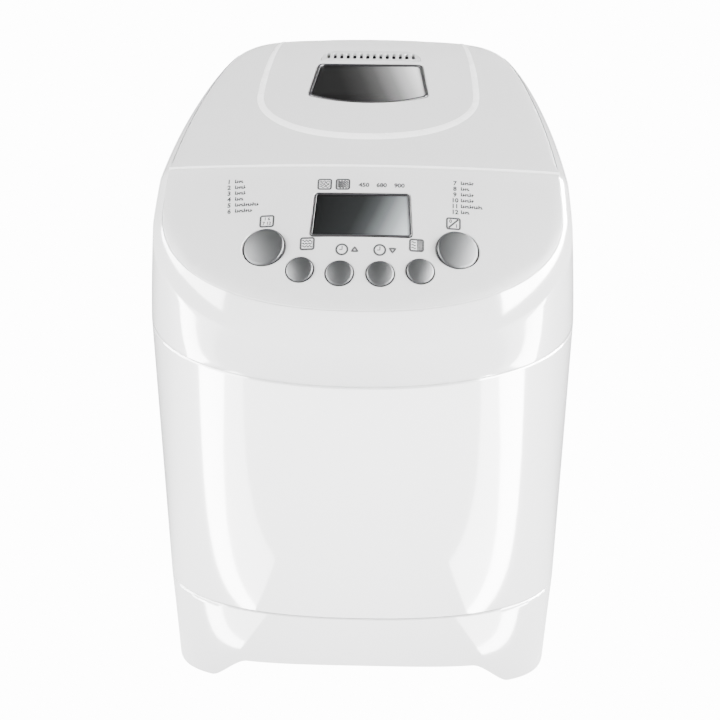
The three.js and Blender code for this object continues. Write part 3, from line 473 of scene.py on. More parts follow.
WHITE = moulded("white_gloss", (0.805, 0.805, 0.81), 0.12, depth=0.012, tint=0.006, coat=1.0)
PANEL_GREY = moulded("satin_grey", (0.58, 0.58, 0.582), 0.48, grain=1600.0, depth=0.10, tint=0.012)
# On the lid inlay this is the trim's own white; on the split rib the same bright white is a painted
# highlight.
TRIM_AND_HIGHLIGHT_WHITE = moulded("trim_white", (0.97, 0.97, 0.97), 0.28, depth=0.02, tint=0.006)
BUTTON_GREY = moulded(
    "button_silver", (0.035, 0.036, 0.037), 0.42, grain=2400.0, depth=0.05, tint=0.02, metallic=0.5
)
DARK_RIM = moulded("dark_rim", (0.01, 0.01, 0.011), 0.4, depth=0.03, tint=0.1)
INK = moulded("print_ink", (0.012, 0.012, 0.013), 0.7, depth=0.05, tint=0.15)
VENT_GREY = moulded("vent_grey", (0.45, 0.451, 0.453), 0.5, grain=1600.0, depth=0.1)
BLACK_PLASTIC = moulded("black_plastic", (0.01, 0.01, 0.011), 0.5, depth=0.12, tint=0.2)
RUBBER = moulded("rubber", (0.045, 0.045, 0.047), 0.8, grain=700.0, depth=0.35, tint=0.2)
NON_STICK = moulded("non_stick", (0.055, 0.055, 0.06), 0.38, grain=1200.0, depth=0.3, tint=0.15)
BOARD = moulded("circuit_board", (0.02, 0.17, 0.06), 0.4, grain=300.0, depth=0.2, tint=0.25)
STEEL = brushed("brushed_steel", (0.55, 0.56, 0.57), 0.3)
ALUMINIUM = brushed("brushed_aluminium", (0.68, 0.69, 0.70), 0.36)
BURNT_STEEL = brushed("burnt_steel", (0.14, 0.125, 0.12), 0.42)
BRASS = brushed("sintered_bronze", (0.62, 0.42, 0.20), 0.4)
GLAND_GREY = moulded("gland_grey", (0.62, 0.62, 0.63), 0.4)
# Both panes carry a painted reflection that lightens from dark to pale along one direction; the stops are
# place and brightness.
GLASS_PAINTED_REFLECTION = ((0, 0.001), (0.35, 0.004), (0.52, 0.017), (0.65, 0.045), (0.78, 0.125), (0.9, 0.32), (1, 0.6))
GLASS_STOPS = [(at, (v, v, v)) for at, v in GLASS_PAINTED_REFLECTION]
GLASS = painted_reflection_pane("window_glass", GLASS_STOPS, ((0.98, 0.2, 0), -30, 40), 0.34)
LENS_PAINTED_REFLECTION = ((0, 0.0058), (0.42, 0.013), (0.58, 0.033), (0.72, 0.09), (0.86, 0.22), (1, 0.42))
LENS_STOPS = [(at, (v * 0.93, v, v * 1.03)) for at, v in LENS_PAINTED_REFLECTION]
LENS = painted_reflection_pane("display_lens", LENS_STOPS, ((0.93, -0.36, 0), 8, 56), 0.34)

# ------------------------------------------------------------------ housing shells
FOOT_Z = 0.8
ARCH_Z = 14
ARCH_SLOPE = 15
FRONT_ARCH_HALF = 86
REAR_ARCH_HALF = 48
SIDE_ARCH_HALF = 74
SKIRT_TOP_Z = BASE_SEAM_Z - SEAM / 2


def arch_z(offset, half):
    """Height of the skirt's lower edge under one arch."""
    return FOOT_Z + (ARCH_Z - FOOT_Z) * smoothstep(half - abs(offset), 0, ARCH_SLOPE)


def skirt_bottom(x, y):
    over = arch_z(x, FRONT_ARCH_HALF) if y < 0 else arch_z(x, REAR_ARCH_HALF)
    return max(over, arch_z(y, SIDE_ARCH_HALF))


def skirt_ring(depth, share):
    """Ring of the base skirt, a share of the way up from its lower edge."""
    low = plan_points(inset(FOOT_PLAN, depth))
    high = plan_points(inset(SEAM_PLAN, depth))
    row = []
    for (x0, y0), (x1, y1) in zip(low, high):
        z = skirt_bottom(x0, y0)
        z += (SKIRT_TOP_Z - z) * share
        up = (z - FOOT_Z) / (SKIRT_TOP_Z - FOOT_Z)
        row.append((x0 + (x1 - x0) * up, y0 + (y1 - y0) * up, z))
    return row


def make_base_skirt():
    shares = [0.016, 0.04, 0.12, 0.24, 0.36, 0.48, 0.6, 0.72, 0.84, 0.95, 0.985]
    rings = [skirt_ring(WALL, 0), skirt_ring(0.7, 0)]
    rings += [skirt_ring(0, share) for share in shares]
    rings += [skirt_ring(0.6, 1), skirt_ring(WALL, 1)]
    points, faces = loft(rings, closed=True)
    return add_mesh("base_skirt", points, faces, "housing", WHITE, ["base_tray"])


FLOOR_Z = 16
FLOOR_THICK = 2.5
FOOT_SPOTS = {
    "front_left": (-82, -104),
    "front_right": (82, -104),
    "rear_left": (-62, 104),
    "rear_right": (62, 104),
}
FOOT_HEIGHT = 3.4
SCREW_INSET = 0.62


def circle(radius, x, y, sides=40):
    turn = [2 * math.pi * i / sides for i in range(sides)]
    return [(x + radius * math.cos(a), y + radius * math.sin(a)) for a in turn]


def make_base_floor():
    plan = inset(mix(FOOT_PLAN, SEAM_PLAN, FLOOR_Z / BASE_SEAM_Z), WALL + 0.1)
    holes = [circle(1.9, x * SCREW_INSET, y, 20) for x, y in FOOT_SPOTS.values()]
    holes += [rounded_rect(2, 23, 1.9, 5, (i * 12, 60)) for i in range(-2, 3)]
    floor = plate_mesh("base_floor", [plan_points(plan), *holes], FLOOR_Z, FLOOR_Z + FLOOR_THICK, 0.3, 2)
    return finish_piece(floor, "housing", WHITE)


def make_foot_post(name, x, y):
    low = FOOT_HEIGHT + CLEAR
    top = FLOOR_Z + 0.2
    profile = [(0, low + 0.5), (7.6, low + 0.5), (8, low), (9.6, low), (10, low + 0.5), (10.4, top), (0, top)]
    points, faces = lathe(profile)
    points = [(px + x, py + y, pz) for px, py, pz in points]
    return add_mesh(f"foot_post_{name}", points, faces, "housing", WHITE)


REAR_SLOT_ROWS = 7
REAR_SLOT_PITCH = 8
REAR_SLOT_Z = 112
INLET_X = 30
INLET_Z = 70
INLET_RADIUS = 7


def wall_rings(low_plan, high_plan, low, high, rows):
    """Outer skin, rounded edges and inner skin of one housing shell."""
    at = lambda depth, share: ring(inset(mix(low_plan, high_plan, share), depth), low + (high - low) * share)
    edge = 0.7 / (high - low)
    shares = [edge, 3 * edge] + [i / rows for i in range(1, rows)] + [1 - 3 * edge, 1 - edge]
    rings = [at(WALL, 0), at(0.6, 0)]
    rings += [at(0, share) for share in shares]
    rings += [at(0.6, 1), at(WALL, 1)]
    return rings


def make_outer_wall():
    low = BASE_SEAM_Z + SEAM / 2
    high = COLLAR_SEAM_Z - SEAM / 2
    points, faces = loft(wall_rings(SEAM_PLAN, WAIST_PLAN, low, high, 12), closed=True)
    tools = []
    for row in range(REAR_SLOT_ROWS):
        slot = plate_mesh(f"slot_{row}", [rounded_rect(35, 1.6, 1.5, 6)], -30, 30)
        slot.data.transform(Matrix.Rotation(math.pi / 2, 4, "X"))
        z = REAR_SLOT_Z + 1.6 + row * REAR_SLOT_PITCH
        slot.data.transform(Matrix.Translation((0, REAR * MM, z * MM)))
        tools.append(slot)
    hole = plate_mesh("inlet_hole", [circle(INLET_RADIUS + CLEAR, 0, 0)], -20, 20)
    hole.data.transform(Matrix.Rotation(math.pi / 2, 4, "X"))
    hole.data.transform(Matrix.Translation((INLET_X * MM, REAR * MM, INLET_Z * MM)))
    wall = cut_out(points, faces, [*tools, hole], "outer_wall_shell")
    return finish_piece(wall, "housing", WHITE, ["outer_wall"])


BAND_ROUND = 1.14
BAND_STEPS = 10
COLLAR_BULGE = 1.3


def make_collar():
    low = COLLAR_SEAM_Z + SEAM / 2
    band_z = lambda x, y: rim_z(x, y) - band_drop(y)
    rings = [ring(inset(WAIST_PLAN, WALL), low), ring(inset(WAIST_PLAN, 0.6), low)]
    rings.append(ring(WAIST_PLAN, low + 0.7))
    for i in range(1, 13):
        up = i / 12
        plan = mix(WAIST_PLAN, BAND_PLAN, up**COLLAR_BULGE)
        rings.append(ring(plan, lambda x, y: low + (band_z(x, y) - low) * up))
    for i in range(1, BAND_STEPS + 1):
        angle = i / BAND_STEPS * math.pi / 2
        blend = 1 - max(math.cos(angle), 0) ** (2 / BAND_ROUND)
        rise = math.sin(angle) ** (2 / BAND_ROUND)
        plan = mix(BAND_PLAN, MOUTH_PLAN, blend)
        rings.append(ring(plan, lambda x, y: rim_z(x, y) - band_drop(y) * (1 - rise)))
    rings.append(ring(MOUTH_PLAN, lambda x, y: rim_z(x, y) - 3))
    rings.append(ring(MOUTH_PLAN, lambda x, y: min(rim_z(x, y) - 8, DECK_Z - DECK_THICK - 1)))
    points, faces = loft(rings, closed=True)
    return add_mesh("collar_shell", points, faces, "housing", WHITE, ["top_collar"], 50)


BULKHEAD_Y = SPLIT_Y - 5


def clipped(outline, keep_front, split_y, pitch):
    """Part of a closed outline on one side of the joint line, closed by a straight edge."""
    inside = lambda p: (p[1] < split_y) == keep_front
    kept = []
    for i, point in enumerate(outline):
        after = outline[(i + 1) % len(outline)]
        if inside(point):
            kept.append(point)
        if inside(point) != inside(after):
            share = (split_y - point[1]) / (after[1] - point[1])
            kept.append((point[0] + (after[0] - point[0]) * share, split_y))
    ends = [i for i, p in enumerate(kept) if abs(p[1] - split_y) < 1e-9]
    start = ends[1] if (ends[1] - ends[0]) == 1 else ends[0]
    ordered = kept[start:] + kept[:start]
    (x0, _), (x1, _) = ordered[-1], ordered[0]
    count = int(abs(x1 - x0) / pitch)
    return ordered + [(x0 + (x1 - x0) * i / count, split_y) for i in range(1, count)]


def make_deck():
    plan = inset(mix(WAIST_PLAN, BAND_PLAN, 0.8), 5)
    outline = clipped(plan_points(plan), False, BULKHEAD_Y, 6)
    mouth = rounded_rect(CHAMBER_HALF - 1.5, CHAMBER_HALF - 1.5, CHAMBER_CORNER - 1.5, 10, (0, CHAMBER_Y))
    deck = plate_mesh("collar_deck", [outline, mouth], DECK_Z - DECK_THICK, DECK_Z, 0.5)
    return finish_piece(deck, "housing", WHITE)


RIB_HALF_THICK = 1.0
RIB_Y = SPLIT_Y + 0.1


def make_split_rib():
    """White rib of the collar that shows between the lid and the control panel; its brighter white is a
    painted highlight of the joint's rounded edges.
    """
    half = EDGE_PLAN["half"] - 1.2
    sections = []
    for i in range(61):
        x = -half + 2 * half * i / 60
        top = top_z(x, SPLIT_Y) + 0.1
        t = RIB_HALF_THICK
        profile = [(-t, DECK_Z - 2), (t, DECK_Z - 2), (t, top - 0.4)]
        profile += [(t - 0.4, top), (0.4 - t, top), (-t, top - 0.4)]
        sections.append([(x, RIB_Y + y, z) for y, z in profile])
    points, faces = loft(sections)
    return add_mesh("split_rib", points, faces, "housing", TRIM_AND_HIGHLIGHT_WHITE)


def knuckle_points(x, width, radius):
    """Rounded disc on the hinge axis."""
    profile = [(0, -width / 2), (radius - 0.5, -width / 2), (radius, 0.5 - width / 2)]
    profile += [(radius, width / 2 - 0.5), (radius - 0.5, width / 2), (0, width / 2)]
    points, faces = lathe(profile, 36)
    turn = Matrix.Translation((x, HINGE_Y, HINGE_Z)) @ Matrix.Rotation(math.pi / 2, 4, "Y")
    return placed(points, turn), faces


def block(low, high, edge=0.4):
    """Box with chamfered upright and level edges."""
    (x0, y0, z0), (x1, y1, z1) = low, high
    level = lambda depth, z: [(x, y, z) for x, y in rounded_rect(
        (x1 - x0) / 2 - depth, (y1 - y0) / 2 - depth, edge, 3, ((x0 + x1) / 2, (y0 + y1) / 2))]
    return loft([level(edge, z0), level(0, z0 + edge), level(0, z1 - edge), level(edge, z1)])


def make_hinges():
    for side, name in ((-1, "left"), (1, "right")):
        lug = side * (HINGE_X + 3.5)
        post = block((lug - 2.5, HINGE_Y - 6, DECK_Z - 1), (lug + 2.5, HINGE_Y + 4, HINGE_Z))
        points, faces = joined(knuckle_points(lug, 5, 5), post)
        add_mesh(f"hinge_lug_{name}", points, faces, "housing", WHITE)
        eye = side * (HINGE_X - 3.5)
        arm = block((eye - 3, HINGE_Y - 4, HINGE_Z - 3), (eye + 3, HINGE_Y + 2, HINGE_Z + 3))
        points, faces = joined(knuckle_points(eye, 6, 4.6), arm)
        add_mesh(f"hinge_knuckle_{name}", points, faces, "lid", PANEL_GREY)


# ------------------------------------------------------------------ domed skins
def inward(outline, amounts):
    """Outline moved inwards by an amount at each point."""
    moved = []
    count = len(outline)
    for i, (x, y) in enumerate(outline):
        (ax, ay), (bx, by) = outline[i - 1], outline[(i + 1) % count]
        tangent = Vector((bx - ax, by - ay)).normalized()
        moved.append((x - tangent.y * amounts[i], y + tangent.x * amounts[i]))
    return moved


def contains(outline, x, y):
    inside = False
    for (ax, ay), (bx, by) in zip(outline, outline[1:] + outline[:1]):
        if (ay > y) != (by > y) and x < ax + (bx - ax) * (y - ay) / (by - ay):
            inside = not inside
    return inside


def near(outline, x, y, distance):
    return any((px - x) ** 2 + (py - y) ** 2 < distance**2 for px, py in outline)


def triangulated(outline, holes, pitch):
    """2-D points and triangles of a region, its boundary loops first and in order."""
    points = [p for loop in (outline, *holes) for p in loop]
    edges = []
    start = 0
    for loop in (outline, *holes):
        edges += [(start + i, start + (i + 1) % len(loop)) for i in range(len(loop))]
        start += len(loop)
    xs, ys = zip(*outline)
    for i in range(int((max(xs) - min(xs)) / pitch) + 1):
        for j in range(int((max(ys) - min(ys)) / pitch) + 1):
            x = min(xs) + (i + 0.5 * (j % 2)) * pitch
            y = min(ys) + j * pitch
            clear = not any(near(loop, x, y, 0.6 * pitch) for loop in (outline, *holes))
            if clear and contains(outline, x, y) and not any(contains(hole, x, y) for hole in holes):
                points.append((x, y))
    result = geometry.delaunay_2d_cdt([Vector(p) for p in points], edges, [], 1, 1e-7)
    triangles = []
    for triangle in result[2]:
        x, y = (sum(result[0][i][k] for i in triangle) / 3 for k in (0, 1))
        if not any(contains(hole, x, y) for hole in holes):
            triangles.append(tuple(result[3][i][0] for i in triangle))
    return points, triangles


def domed_skin(outline, holes, rounding, skirt_depth, pitch=4.5, thick=TOP_THICK):
    """A closed skin over the top surface, with rounded edges, a skirt and lipped holes.

    Each hole is three loops of 3-D points: its lip on the surface, then the edge of its
    wall at the top and at the bottom.
    """
    flat = inward(outline, rounding)
    flat_holes = [[(x, y) for x, y, _ in lip] for lip, _, _ in holes]
    plan, triangles = triangulated(flat, flat_holes, pitch)
    count = len(outline)
    points = [(x, y, top_z(x, y)) for x, y in plan]
    under = len(points)
    points += [(x, y, top_z(x, y) - thick) for x, y in plan]
    faces = list(triangles) + [tuple(under + i for i in t[::-1]) for t in triangles]

    def add_row(row):
        points.extend(row)
        return len(points) - len(row)

    def bridge(a, b, size):
        for i in range(size):
            j = (i + 1) % size
            faces.append((a + i, b + i, b + j, a + j))

    rows = [0]
    for step in range(1, 6):
        angle = step / 5 * math.pi / 2
        shrink = inward(outline, [r * (1 - math.sin(angle)) for r in rounding])
        drop = 1 - math.cos(angle)
        row = [(x, y, top_z(*outline[i]) - rounding[i] * drop) for i, (x, y) in enumerate(shrink)]
        rows.append(add_row(row))
    rows.append(add_row([(x, y, top_z(x, y) - skirt_depth) for x, y in outline]))
    inner = inward(outline, [thick * 0.8] * count)
    rows.append(add_row([(x, y, top_z(*outline[i]) - skirt_depth) for i, (x, y) in enumerate(inner)]))
    rows.append(add_row([(x, y, top_z(*outline[i]) - thick - 0.5) for i, (x, y) in enumerate(inner)]))
    rows.append(under)
    for a, b in zip(rows, rows[1:]):
        bridge(a, b, count)
    start = count
    for lip, wall_top, wall_low in holes:
        size = len(lip)
        for i in range(size):
            into = (Vector(wall_low[i]) - Vector(wall_top[i])).normalized()
            points[under + start + i] = tuple(Vector(lip[i]) + into * thick)
        top_row = add_row(wall_top)
        low_row = add_row(wall_low)
        bridge(start, top_row, size)
        bridge(top_row, low_row, size)
        bridge(low_row, under + start, size)
        start += size
    return points, faces


# ------------------------------------------------------------------ control panel
BUTTON_TIP = 4
BUTTON_CROWN = 1.75
BUTTONS = {
    "button_menu": (-50.2, -105, 11, 11),
    "button_colour": (-31, -118, 7.1, 7),
    "button_time_up": (-10.5, -120.3, 7.1, 3),
    "button_time_down": (10.5, -120.3, 7.1, -3),
    "button_size": (31, -118, 7.1, -7),
    "button_start": (50.2, -105, 11, -11),
}
DISPLAY_Y = -86


def panel_frame(x, y, lean, tip):
    """Frame on the panel with local Z along its normal, leant and tipped in degrees."""
    normal = top_normal(x, y)
    normal = Matrix.Rotation(math.radians(tip), 3, "X") @ normal
    normal = Matrix.Rotation(-math.radians(lean), 3, "Y") @ normal
    turn = Vector((0, 0, 1)).rotation_difference(normal).to_matrix().to_4x4()
    return Matrix.Translation((x, y, top_z(x, y))) @ turn


def onto_surface(matrix, x, y):
    """Where a line along the frame's local Z meets the top surface."""
    normal = matrix.to_3x3() @ Vector((0, 0, 1))
    point = matrix @ Vector((x, y, 0))
    for _ in range(6):
        point -= normal * (point.z - top_z(point.x, point.y)) / normal.z
    return point


def hole_loops(matrix, outline, grown, lip=0.3, depth=4.2):
    normal = matrix.to_3x3() @ Vector((0, 0, 1))
    edge = [onto_surface(matrix, x, y) for x, y in grown]
    wall = [onto_surface(matrix, x, y) for x, y in outline]
    top = [tuple(p - normal * lip) for p in wall]
    low = [tuple(p - normal * depth) for p in wall]
    return [tuple(p) for p in edge], top, low


def display_outline(grow):
    """Window with a slightly wider, gently bowed front edge."""
    rear, front, length = 25 + grow, 26.4 + grow, 14.9 + grow
    r = 2.2 + grow / 2
    corners = [((front, -length), (-1, 0), (-0.04, 1)), ((rear, length), (0.04, -1), (-1, 0))]
    right = []
    for (x, y), (ax, ay), (bx, by) in corners:
        right += bezier((x + ax * r, y + ay * r), (x + ax * r * 0.4, y + ay * r * 0.4),
                        (x + bx * r * 0.4, y + by * r * 0.4), (x + bx * r, y + by * r), 6)
        right.append((x + bx * r, y + by * r))
    return right + [(-x, y) for x, y in right[::-1]]


def closed_steps(outline, pitch):
    """The outline with its long edges cut into steps."""
    points = []
    for (ax, ay), (bx, by) in zip(outline, outline[1:] + outline[:1]):
        count = max(1, round(math.hypot(bx - ax, by - ay) / pitch))
        points += [(ax + (bx - ax) * i / count, ay + (by - ay) * i / count) for i in range(count)]
    return points


PANEL_EDGE_Y = SPLIT_Y - 1.1
LID_EDGE_Y = SPLIT_Y + 1.3


def edge_rounding(outline, split_y, at_split, elsewhere):
    """Small rounding along the joint line that grows away from it."""
    return [at_split + (elsewhere - at_split) * smoothstep(abs(y - split_y), 0.5, 8) for _, y in outline]


def make_panel():
    outline = clipped(plan_points(inset(EDGE_PLAN, 0.25)), True, PANEL_EDGE_Y, 4)
    holes = []
    for x, y, radius, lean in BUTTONS.values():
        matrix = panel_frame(x, y, lean, BUTTON_TIP)
        holes.append(hole_loops(matrix, circle(radius + 0.45, 0, 0, 64), circle(radius + 0.75, 0, 0, 64)))
    matrix = panel_frame(0, DISPLAY_Y, 0, 0)
    window = closed_steps(display_outline(0.3), 3)
    grown = closed_steps(display_outline(0.3), 3)
    grown = inward(grown, [-0.3] * len(grown))
    holes.append(hole_loops(matrix, window, grown))
    rounding = edge_rounding(outline, PANEL_EDGE_Y, 0.5, 0.6)
    points, faces = domed_skin(outline, holes, rounding, 4.6)
    return add_mesh("panel_skin", points, faces, "housing", PANEL_GREY, ["control_panel"])


def make_buttons():
    for name, (x, y, radius, lean) in BUTTONS.items():
        matrix = panel_frame(x, y, lean, BUTTON_TIP)
        shares = (0.93, 0.85, 0.7, 0.55, 0.4, 0.25, 0.1)
        crown = [(radius * share, BUTTON_CROWN - 1.1 * share**2) for share in shares]
        edge = [(radius, -4), (radius, 0.1), (radius * 0.985, 0.4), (radius * 0.96, 0.62)]
        profile = [(0, -4), *edge, *crown, (0, BUTTON_CROWN)]
        points, faces = lathe(profile, 72)
        add_mesh(f"{name}_cap", placed(points, matrix), faces, name, BUTTON_GREY, [name])
        # The near-black well lining in the gap round each button is painted shade.
        well = [(radius + 0.42, -3.9), (radius + 0.42, -0.45), (radius + 0.1, -0.45), (radius + 0.1, -3.9)]
        rings = []
        for r, z in well:
            rings.append([matrix @ Vector((px, py, z)) for px, py in circle(r, 0, 0, 64)])
        points, faces = loft([[tuple(p) for p in row] for row in rings], closed=True)
        add_mesh(f"{name}_well", points, faces, "housing", DARK_RIM)


def make_display():
    to_metres = Matrix.Diagonal((MM, MM, MM, 1))
    matrix = to_metres @ panel_frame(0, DISPLAY_Y, 0, 0) @ to_metres.inverted()
    outer = closed_steps(display_outline(0), 3)
    inner = inward(outer, [1.1] * len(outer))
    bezel = plate_mesh("display_bezel", [outer, inner], -3.6, -0.15, 0.3)
    bezel.data.transform(matrix)
    finish_piece(bezel, "housing", DARK_RIM)
    lens = plate_mesh("display_lens_pane", [inward(outer, [1.15] * len(outer))], -2.6, -0.9, 0.25)
    lens.data.transform(matrix)
    finish_piece(lens, "housing", LENS, ["display_lens"])


# ------------------------------------------------------------------ printed marks
INK_LIFT = 0.05
INK_THICK = 0.08


def ink(name, points, faces):
    """Flat marks laid on the panel, just proud of it."""
    lifted = [(x, y, top_z(x, y) + INK_LIFT) for x, y in points]
    piece = add_mesh(name, lifted, faces, "housing", INK)
    thickness = piece.modifiers.new("ink", "SOLIDIFY")
    thickness.thickness = INK_THICK * MM
    thickness.offset = 0
    return piece


def stroke(points, width, closed=False):
    """Ribbon along a line of plan points."""
    count = len(points)
    left, right = [], []
    for i, (x, y) in enumerate(points):
        before = points[i - 1] if closed or i > 0 else points[i]
        after = points[(i + 1) % count] if closed or i < count - 1 else points[i]
        tangent = Vector((after[0] - before[0], after[1] - before[1])).normalized() * width / 2
        left.append((x - tangent.y, y + tangent.x))
        right.append((x + tangent.y, y - tangent.x))
    last = count if closed else count - 1
    faces = [(i, (i + 1) % count, count + (i + 1) % count, count + i) for i in range(last)]
    return left + right, faces


def numeral_mesh(text, size, x, y):
    """Numbers set flat on the panel, centred left to right about x."""
    curve = bpy.data.curves.new("numeral", "FONT")
    curve.body = text
    curve.size = size
    curve.align_x = "CENTER"
    curve.align_y = "CENTER"
    curve.resolution_u = 3
    curve.offset = size * 0.04
    holder = bpy.data.objects.new("numeral", curve)
    bpy.context.scene.collection.objects.link(holder)
    mesh = evaluated_mesh(holder)
    points = [(v.co.x + x, v.co.y + y) for v in mesh.vertices]
    faces = [tuple(face.vertices) for face in mesh.polygons]
    bpy.data.objects.remove(holder)
    return points, faces


LINE = 1.0
LIST_TOP_Y = -63.6
LIST_PITCH = 3.75
LIST_LEAN = 0.28
NUMERAL = 3.7
WORD_HEIGHT = 1.7


WORD_PITCH = 1.15
WORD_LINE = 0.62


def word_marks(x, y, length):
    """Short upright strokes that stand for a word."""
    parts = []
    foot = y - WORD_HEIGHT / 2
    for i in range(int(length / WORD_PITCH)):
        tall = WORD_HEIGHT * (1.35 if i % 4 == 0 else 1)
        left = x + i * WORD_PITCH
        level = y - 0.1 + 0.4 * (i % 3 - 1)
        parts.append(stroke([(left, foot), (left, foot + tall)], WORD_LINE))
        parts.append(stroke([(left, level), (left + 0.8, level)], WORD_LINE))
    return parts


def make_program_list(name, first, x, lengths):
    parts = []
    for row, length in enumerate(lengths):
        y = LIST_TOP_Y - row * LIST_PITCH
        shift = LIST_LEAN * row * (1 if x < 0 else 0)
        parts.append(numeral_mesh(str(first + row), NUMERAL, x + shift, y))
        parts += word_marks(x + 3.4 + shift, y, length)
    ink(name, *joined(*parts))


def frame_mark(x, y, half=3.4):
    return stroke(rounded_rect(half, half * 0.96, 0.9, 4, (x, y)), LINE, closed=True)


def wave(x, y, length, swing, turns, steps=24):
    """A wavy stroke across a mark, such as a slice's crumb."""
    line = []
    for i in range(steps + 1):
        share = i / steps
        line.append((x + (share - 0.5) * length, y + swing * math.sin(2 * math.pi * turns * share)))
    return stroke(line, 0.5)


def crumb_mark(x, y, rows, turns):
    """Rounded square filled with wavy rows: more rows for a darker crust."""
    parts = [frame_mark(x, y)]
    for i in range(rows):
        level = y + 4.8 * ((i + 0.5) / rows - 0.5)
        parts.append(wave(x, level, 5.2, 0.42, turns + 0.4 * (i % 2)))
    return parts


def clock_mark(x, y, upward):
    face = stroke(circle(2.9, x, y, 28), LINE, closed=True)
    hand = stroke([(x + 0.1, y + 1.9), (x + 0.1, y - 0.1), (x - 1.3, y - 0.1)], 0.6)
    tip = 1.35 if upward else -1.35
    triangle = [(x + 5, y - tip * 0.75), (x + 8.2, y - tip * 0.75), (x + 6.6, y + tip)]
    return [face, hand, stroke(closed_steps(triangle, 0.8), LINE, closed=True)]


def size_mark(x, y):
    """Square split into a plain half and a filled half."""
    parts = [frame_mark(x, y)]
    parts += [wave(x - 1.5, y - 1.6 + 1.6 * i, 2.2, 0.3, 1) for i in range(3)]
    parts += [stroke([(x + 0.5 + 0.62 * i, y - 2.9), (x + 0.5 + 0.62 * i, y + 2.9)], 0.42) for i in range(5)]
    return parts


def start_mark(x, y):
    slash = stroke([(x - 2.5, y - 2.6), (x + 2.5, y + 2.6)], LINE)
    zero = numeral_mesh("0", 2.9, x - 1.5, y + 1.3)
    one = numeral_mesh("1", 2.9, x + 1.6, y - 1.4)
    return [frame_mark(x, y), slash, zero, one]


def menu_mark(x, y):
    upper = numeral_mesh("1 6", 2.5, x, y + 1.35)
    lower = numeral_mesh("7 12", 2.5, x, y - 1.35)
    return [frame_mark(x, y), upper, lower]


def make_prints():
    make_program_list("print_programs_left", 1, -71.2, (5.5, 6.6, 6.2, 5, 13, 10))
    make_program_list("print_programs_right", 7, 48.6, (7, 5, 8, 7, 12, 5.4))
    row_y = -66.3
    marks = crumb_mark(-20.2, row_y, 4, 2.2) + crumb_mark(-10.6, row_y, 7, 3.2)
    for text, x in (("450", 0.6), ("680", 9.9), ("900", 19.3)):
        marks.append(numeral_mesh(text, NUMERAL, x, row_y - 0.4))
    marks += menu_mark(-49.4, -89.6)
    marks += crumb_mark(-27.6, -104, 3, 3)
    marks += clock_mark(-9.6, -107.6, True) + clock_mark(9.9, -107.6, False)
    marks += size_mark(28.8, -104)
    marks += start_mark(47.8, -89.6)
    ink("print_marks", *joined(*marks))


# ------------------------------------------------------------------ lid
LID_SKIRT = 9
INLAY_HALF = 63.5
INLAY_TAPER = 7.5
INLAY_LEG = 3.6
INLAY_LEG_REAR = 2
INLAY_NOSE = 7
INLAY_FRONT = -25
INLAY_STATION = 34
INLAY_REAR = 131
WINDOW_REAR, WINDOW_FRONT, WINDOW_BOW = 77, 31, 10
WINDOW_HALF_REAR, WINDOW_HALF_FRONT = 31, 34
VENT_FRONT, VENT_REAR = 83.5, 98
VENT_SLOTS = 14
VENT_PITCH = 3.9


def mirrored(right):
    return right + [(-x, y) for x, y in right[::-1] if abs(x) > 1e-6]


def window_outline(grow):
    """Bowed front edge, short front corners and straight sides that close in rearwards."""
    rear, front = WINDOW_HALF_REAR + grow, WINDOW_HALF_FRONT + grow
    y0, y1 = WINDOW_FRONT - grow, WINDOW_REAR + grow
    nose = y0 - WINDOW_BOW
    r = 4
    right = bezier((0, nose), (0.4 * front, nose), (0.72 * front, nose + 4), (front - 1.4, y0 - 1), 16)
    corner, side = (front - 1.4, y0 - 1), (front - 0.1, y0 + 6)
    right += bezier(corner, (front + 0.3, y0 + 0.2), (front + 0.3, y0 + 3), side, 6)
    right += bezier(side, (front - 0.9, y0 + 16), (rear + 0.8, y1 - 14), (rear, y1 - r), 8)
    right += bezier((rear, y1 - r), (rear, y1 - 1.2), (rear - 1.2, y1), (rear - r, y1), 6)
    right += [((rear - r) * (1 - i / 8), y1) for i in range(9)]
    return mirrored(right)


def vent_outline(grow):
    front, rear = 29.5 + grow, 26 + grow
    y0, y1 = VENT_FRONT - grow, VENT_REAR + grow
    right = [(front * i / 12, y0) for i in range(12)]
    right += bezier((front - 0.4, y0), (front + 0.6, y0 + 5), (rear + 1.5, y1 - 2), (rear - 5, y1), 12)
    right += [((rear - 5) * (1 - i / 8), y1) for i in range(9)]
    return mirrored(right)


def on_top(outline, offset=0.0):
    return [(x, y, top_z(x, y) + offset) for x, y in outline]


def lid_hole(outline_at, lip=0.35, depth=4.5):
    wall = outline_at(0.3)
    return on_top(outline_at(0.3 + lip)), on_top(wall, -lip), on_top(wall, -depth)


def make_lid():
    outline = clipped(plan_points(inset(EDGE_PLAN, 0.28)), False, LID_EDGE_Y, 4)
    rounding = edge_rounding(outline, LID_EDGE_Y, 0.5, 1.9)
    holes = [lid_hole(window_outline), lid_hole(vent_outline)]
    points, faces = domed_skin(outline, holes, rounding, LID_SKIRT, pitch=5.5)
    return add_mesh("lid_skin", points, faces, "lid", PANEL_GREY, ["lid_shell"])


def inlay_edge(half, front, taper, steps=60):
    """Half of the inlay's line: from the front centre round and back along one leg."""
    points = []
    for i in range(steps + 1):
        angle = math.pi / 2 * i / steps
        across = math.sin(angle) ** 0.9
        along = math.cos(angle) ** 0.9 if i < steps else 0
        points.append((half * across, INLAY_STATION - (INLAY_STATION - front) * along))
    for i in range(1, 31):
        share = i / 30
        points.append((half - taper * share**2, INLAY_STATION + (INLAY_REAR - INLAY_STATION) * share))
    return points


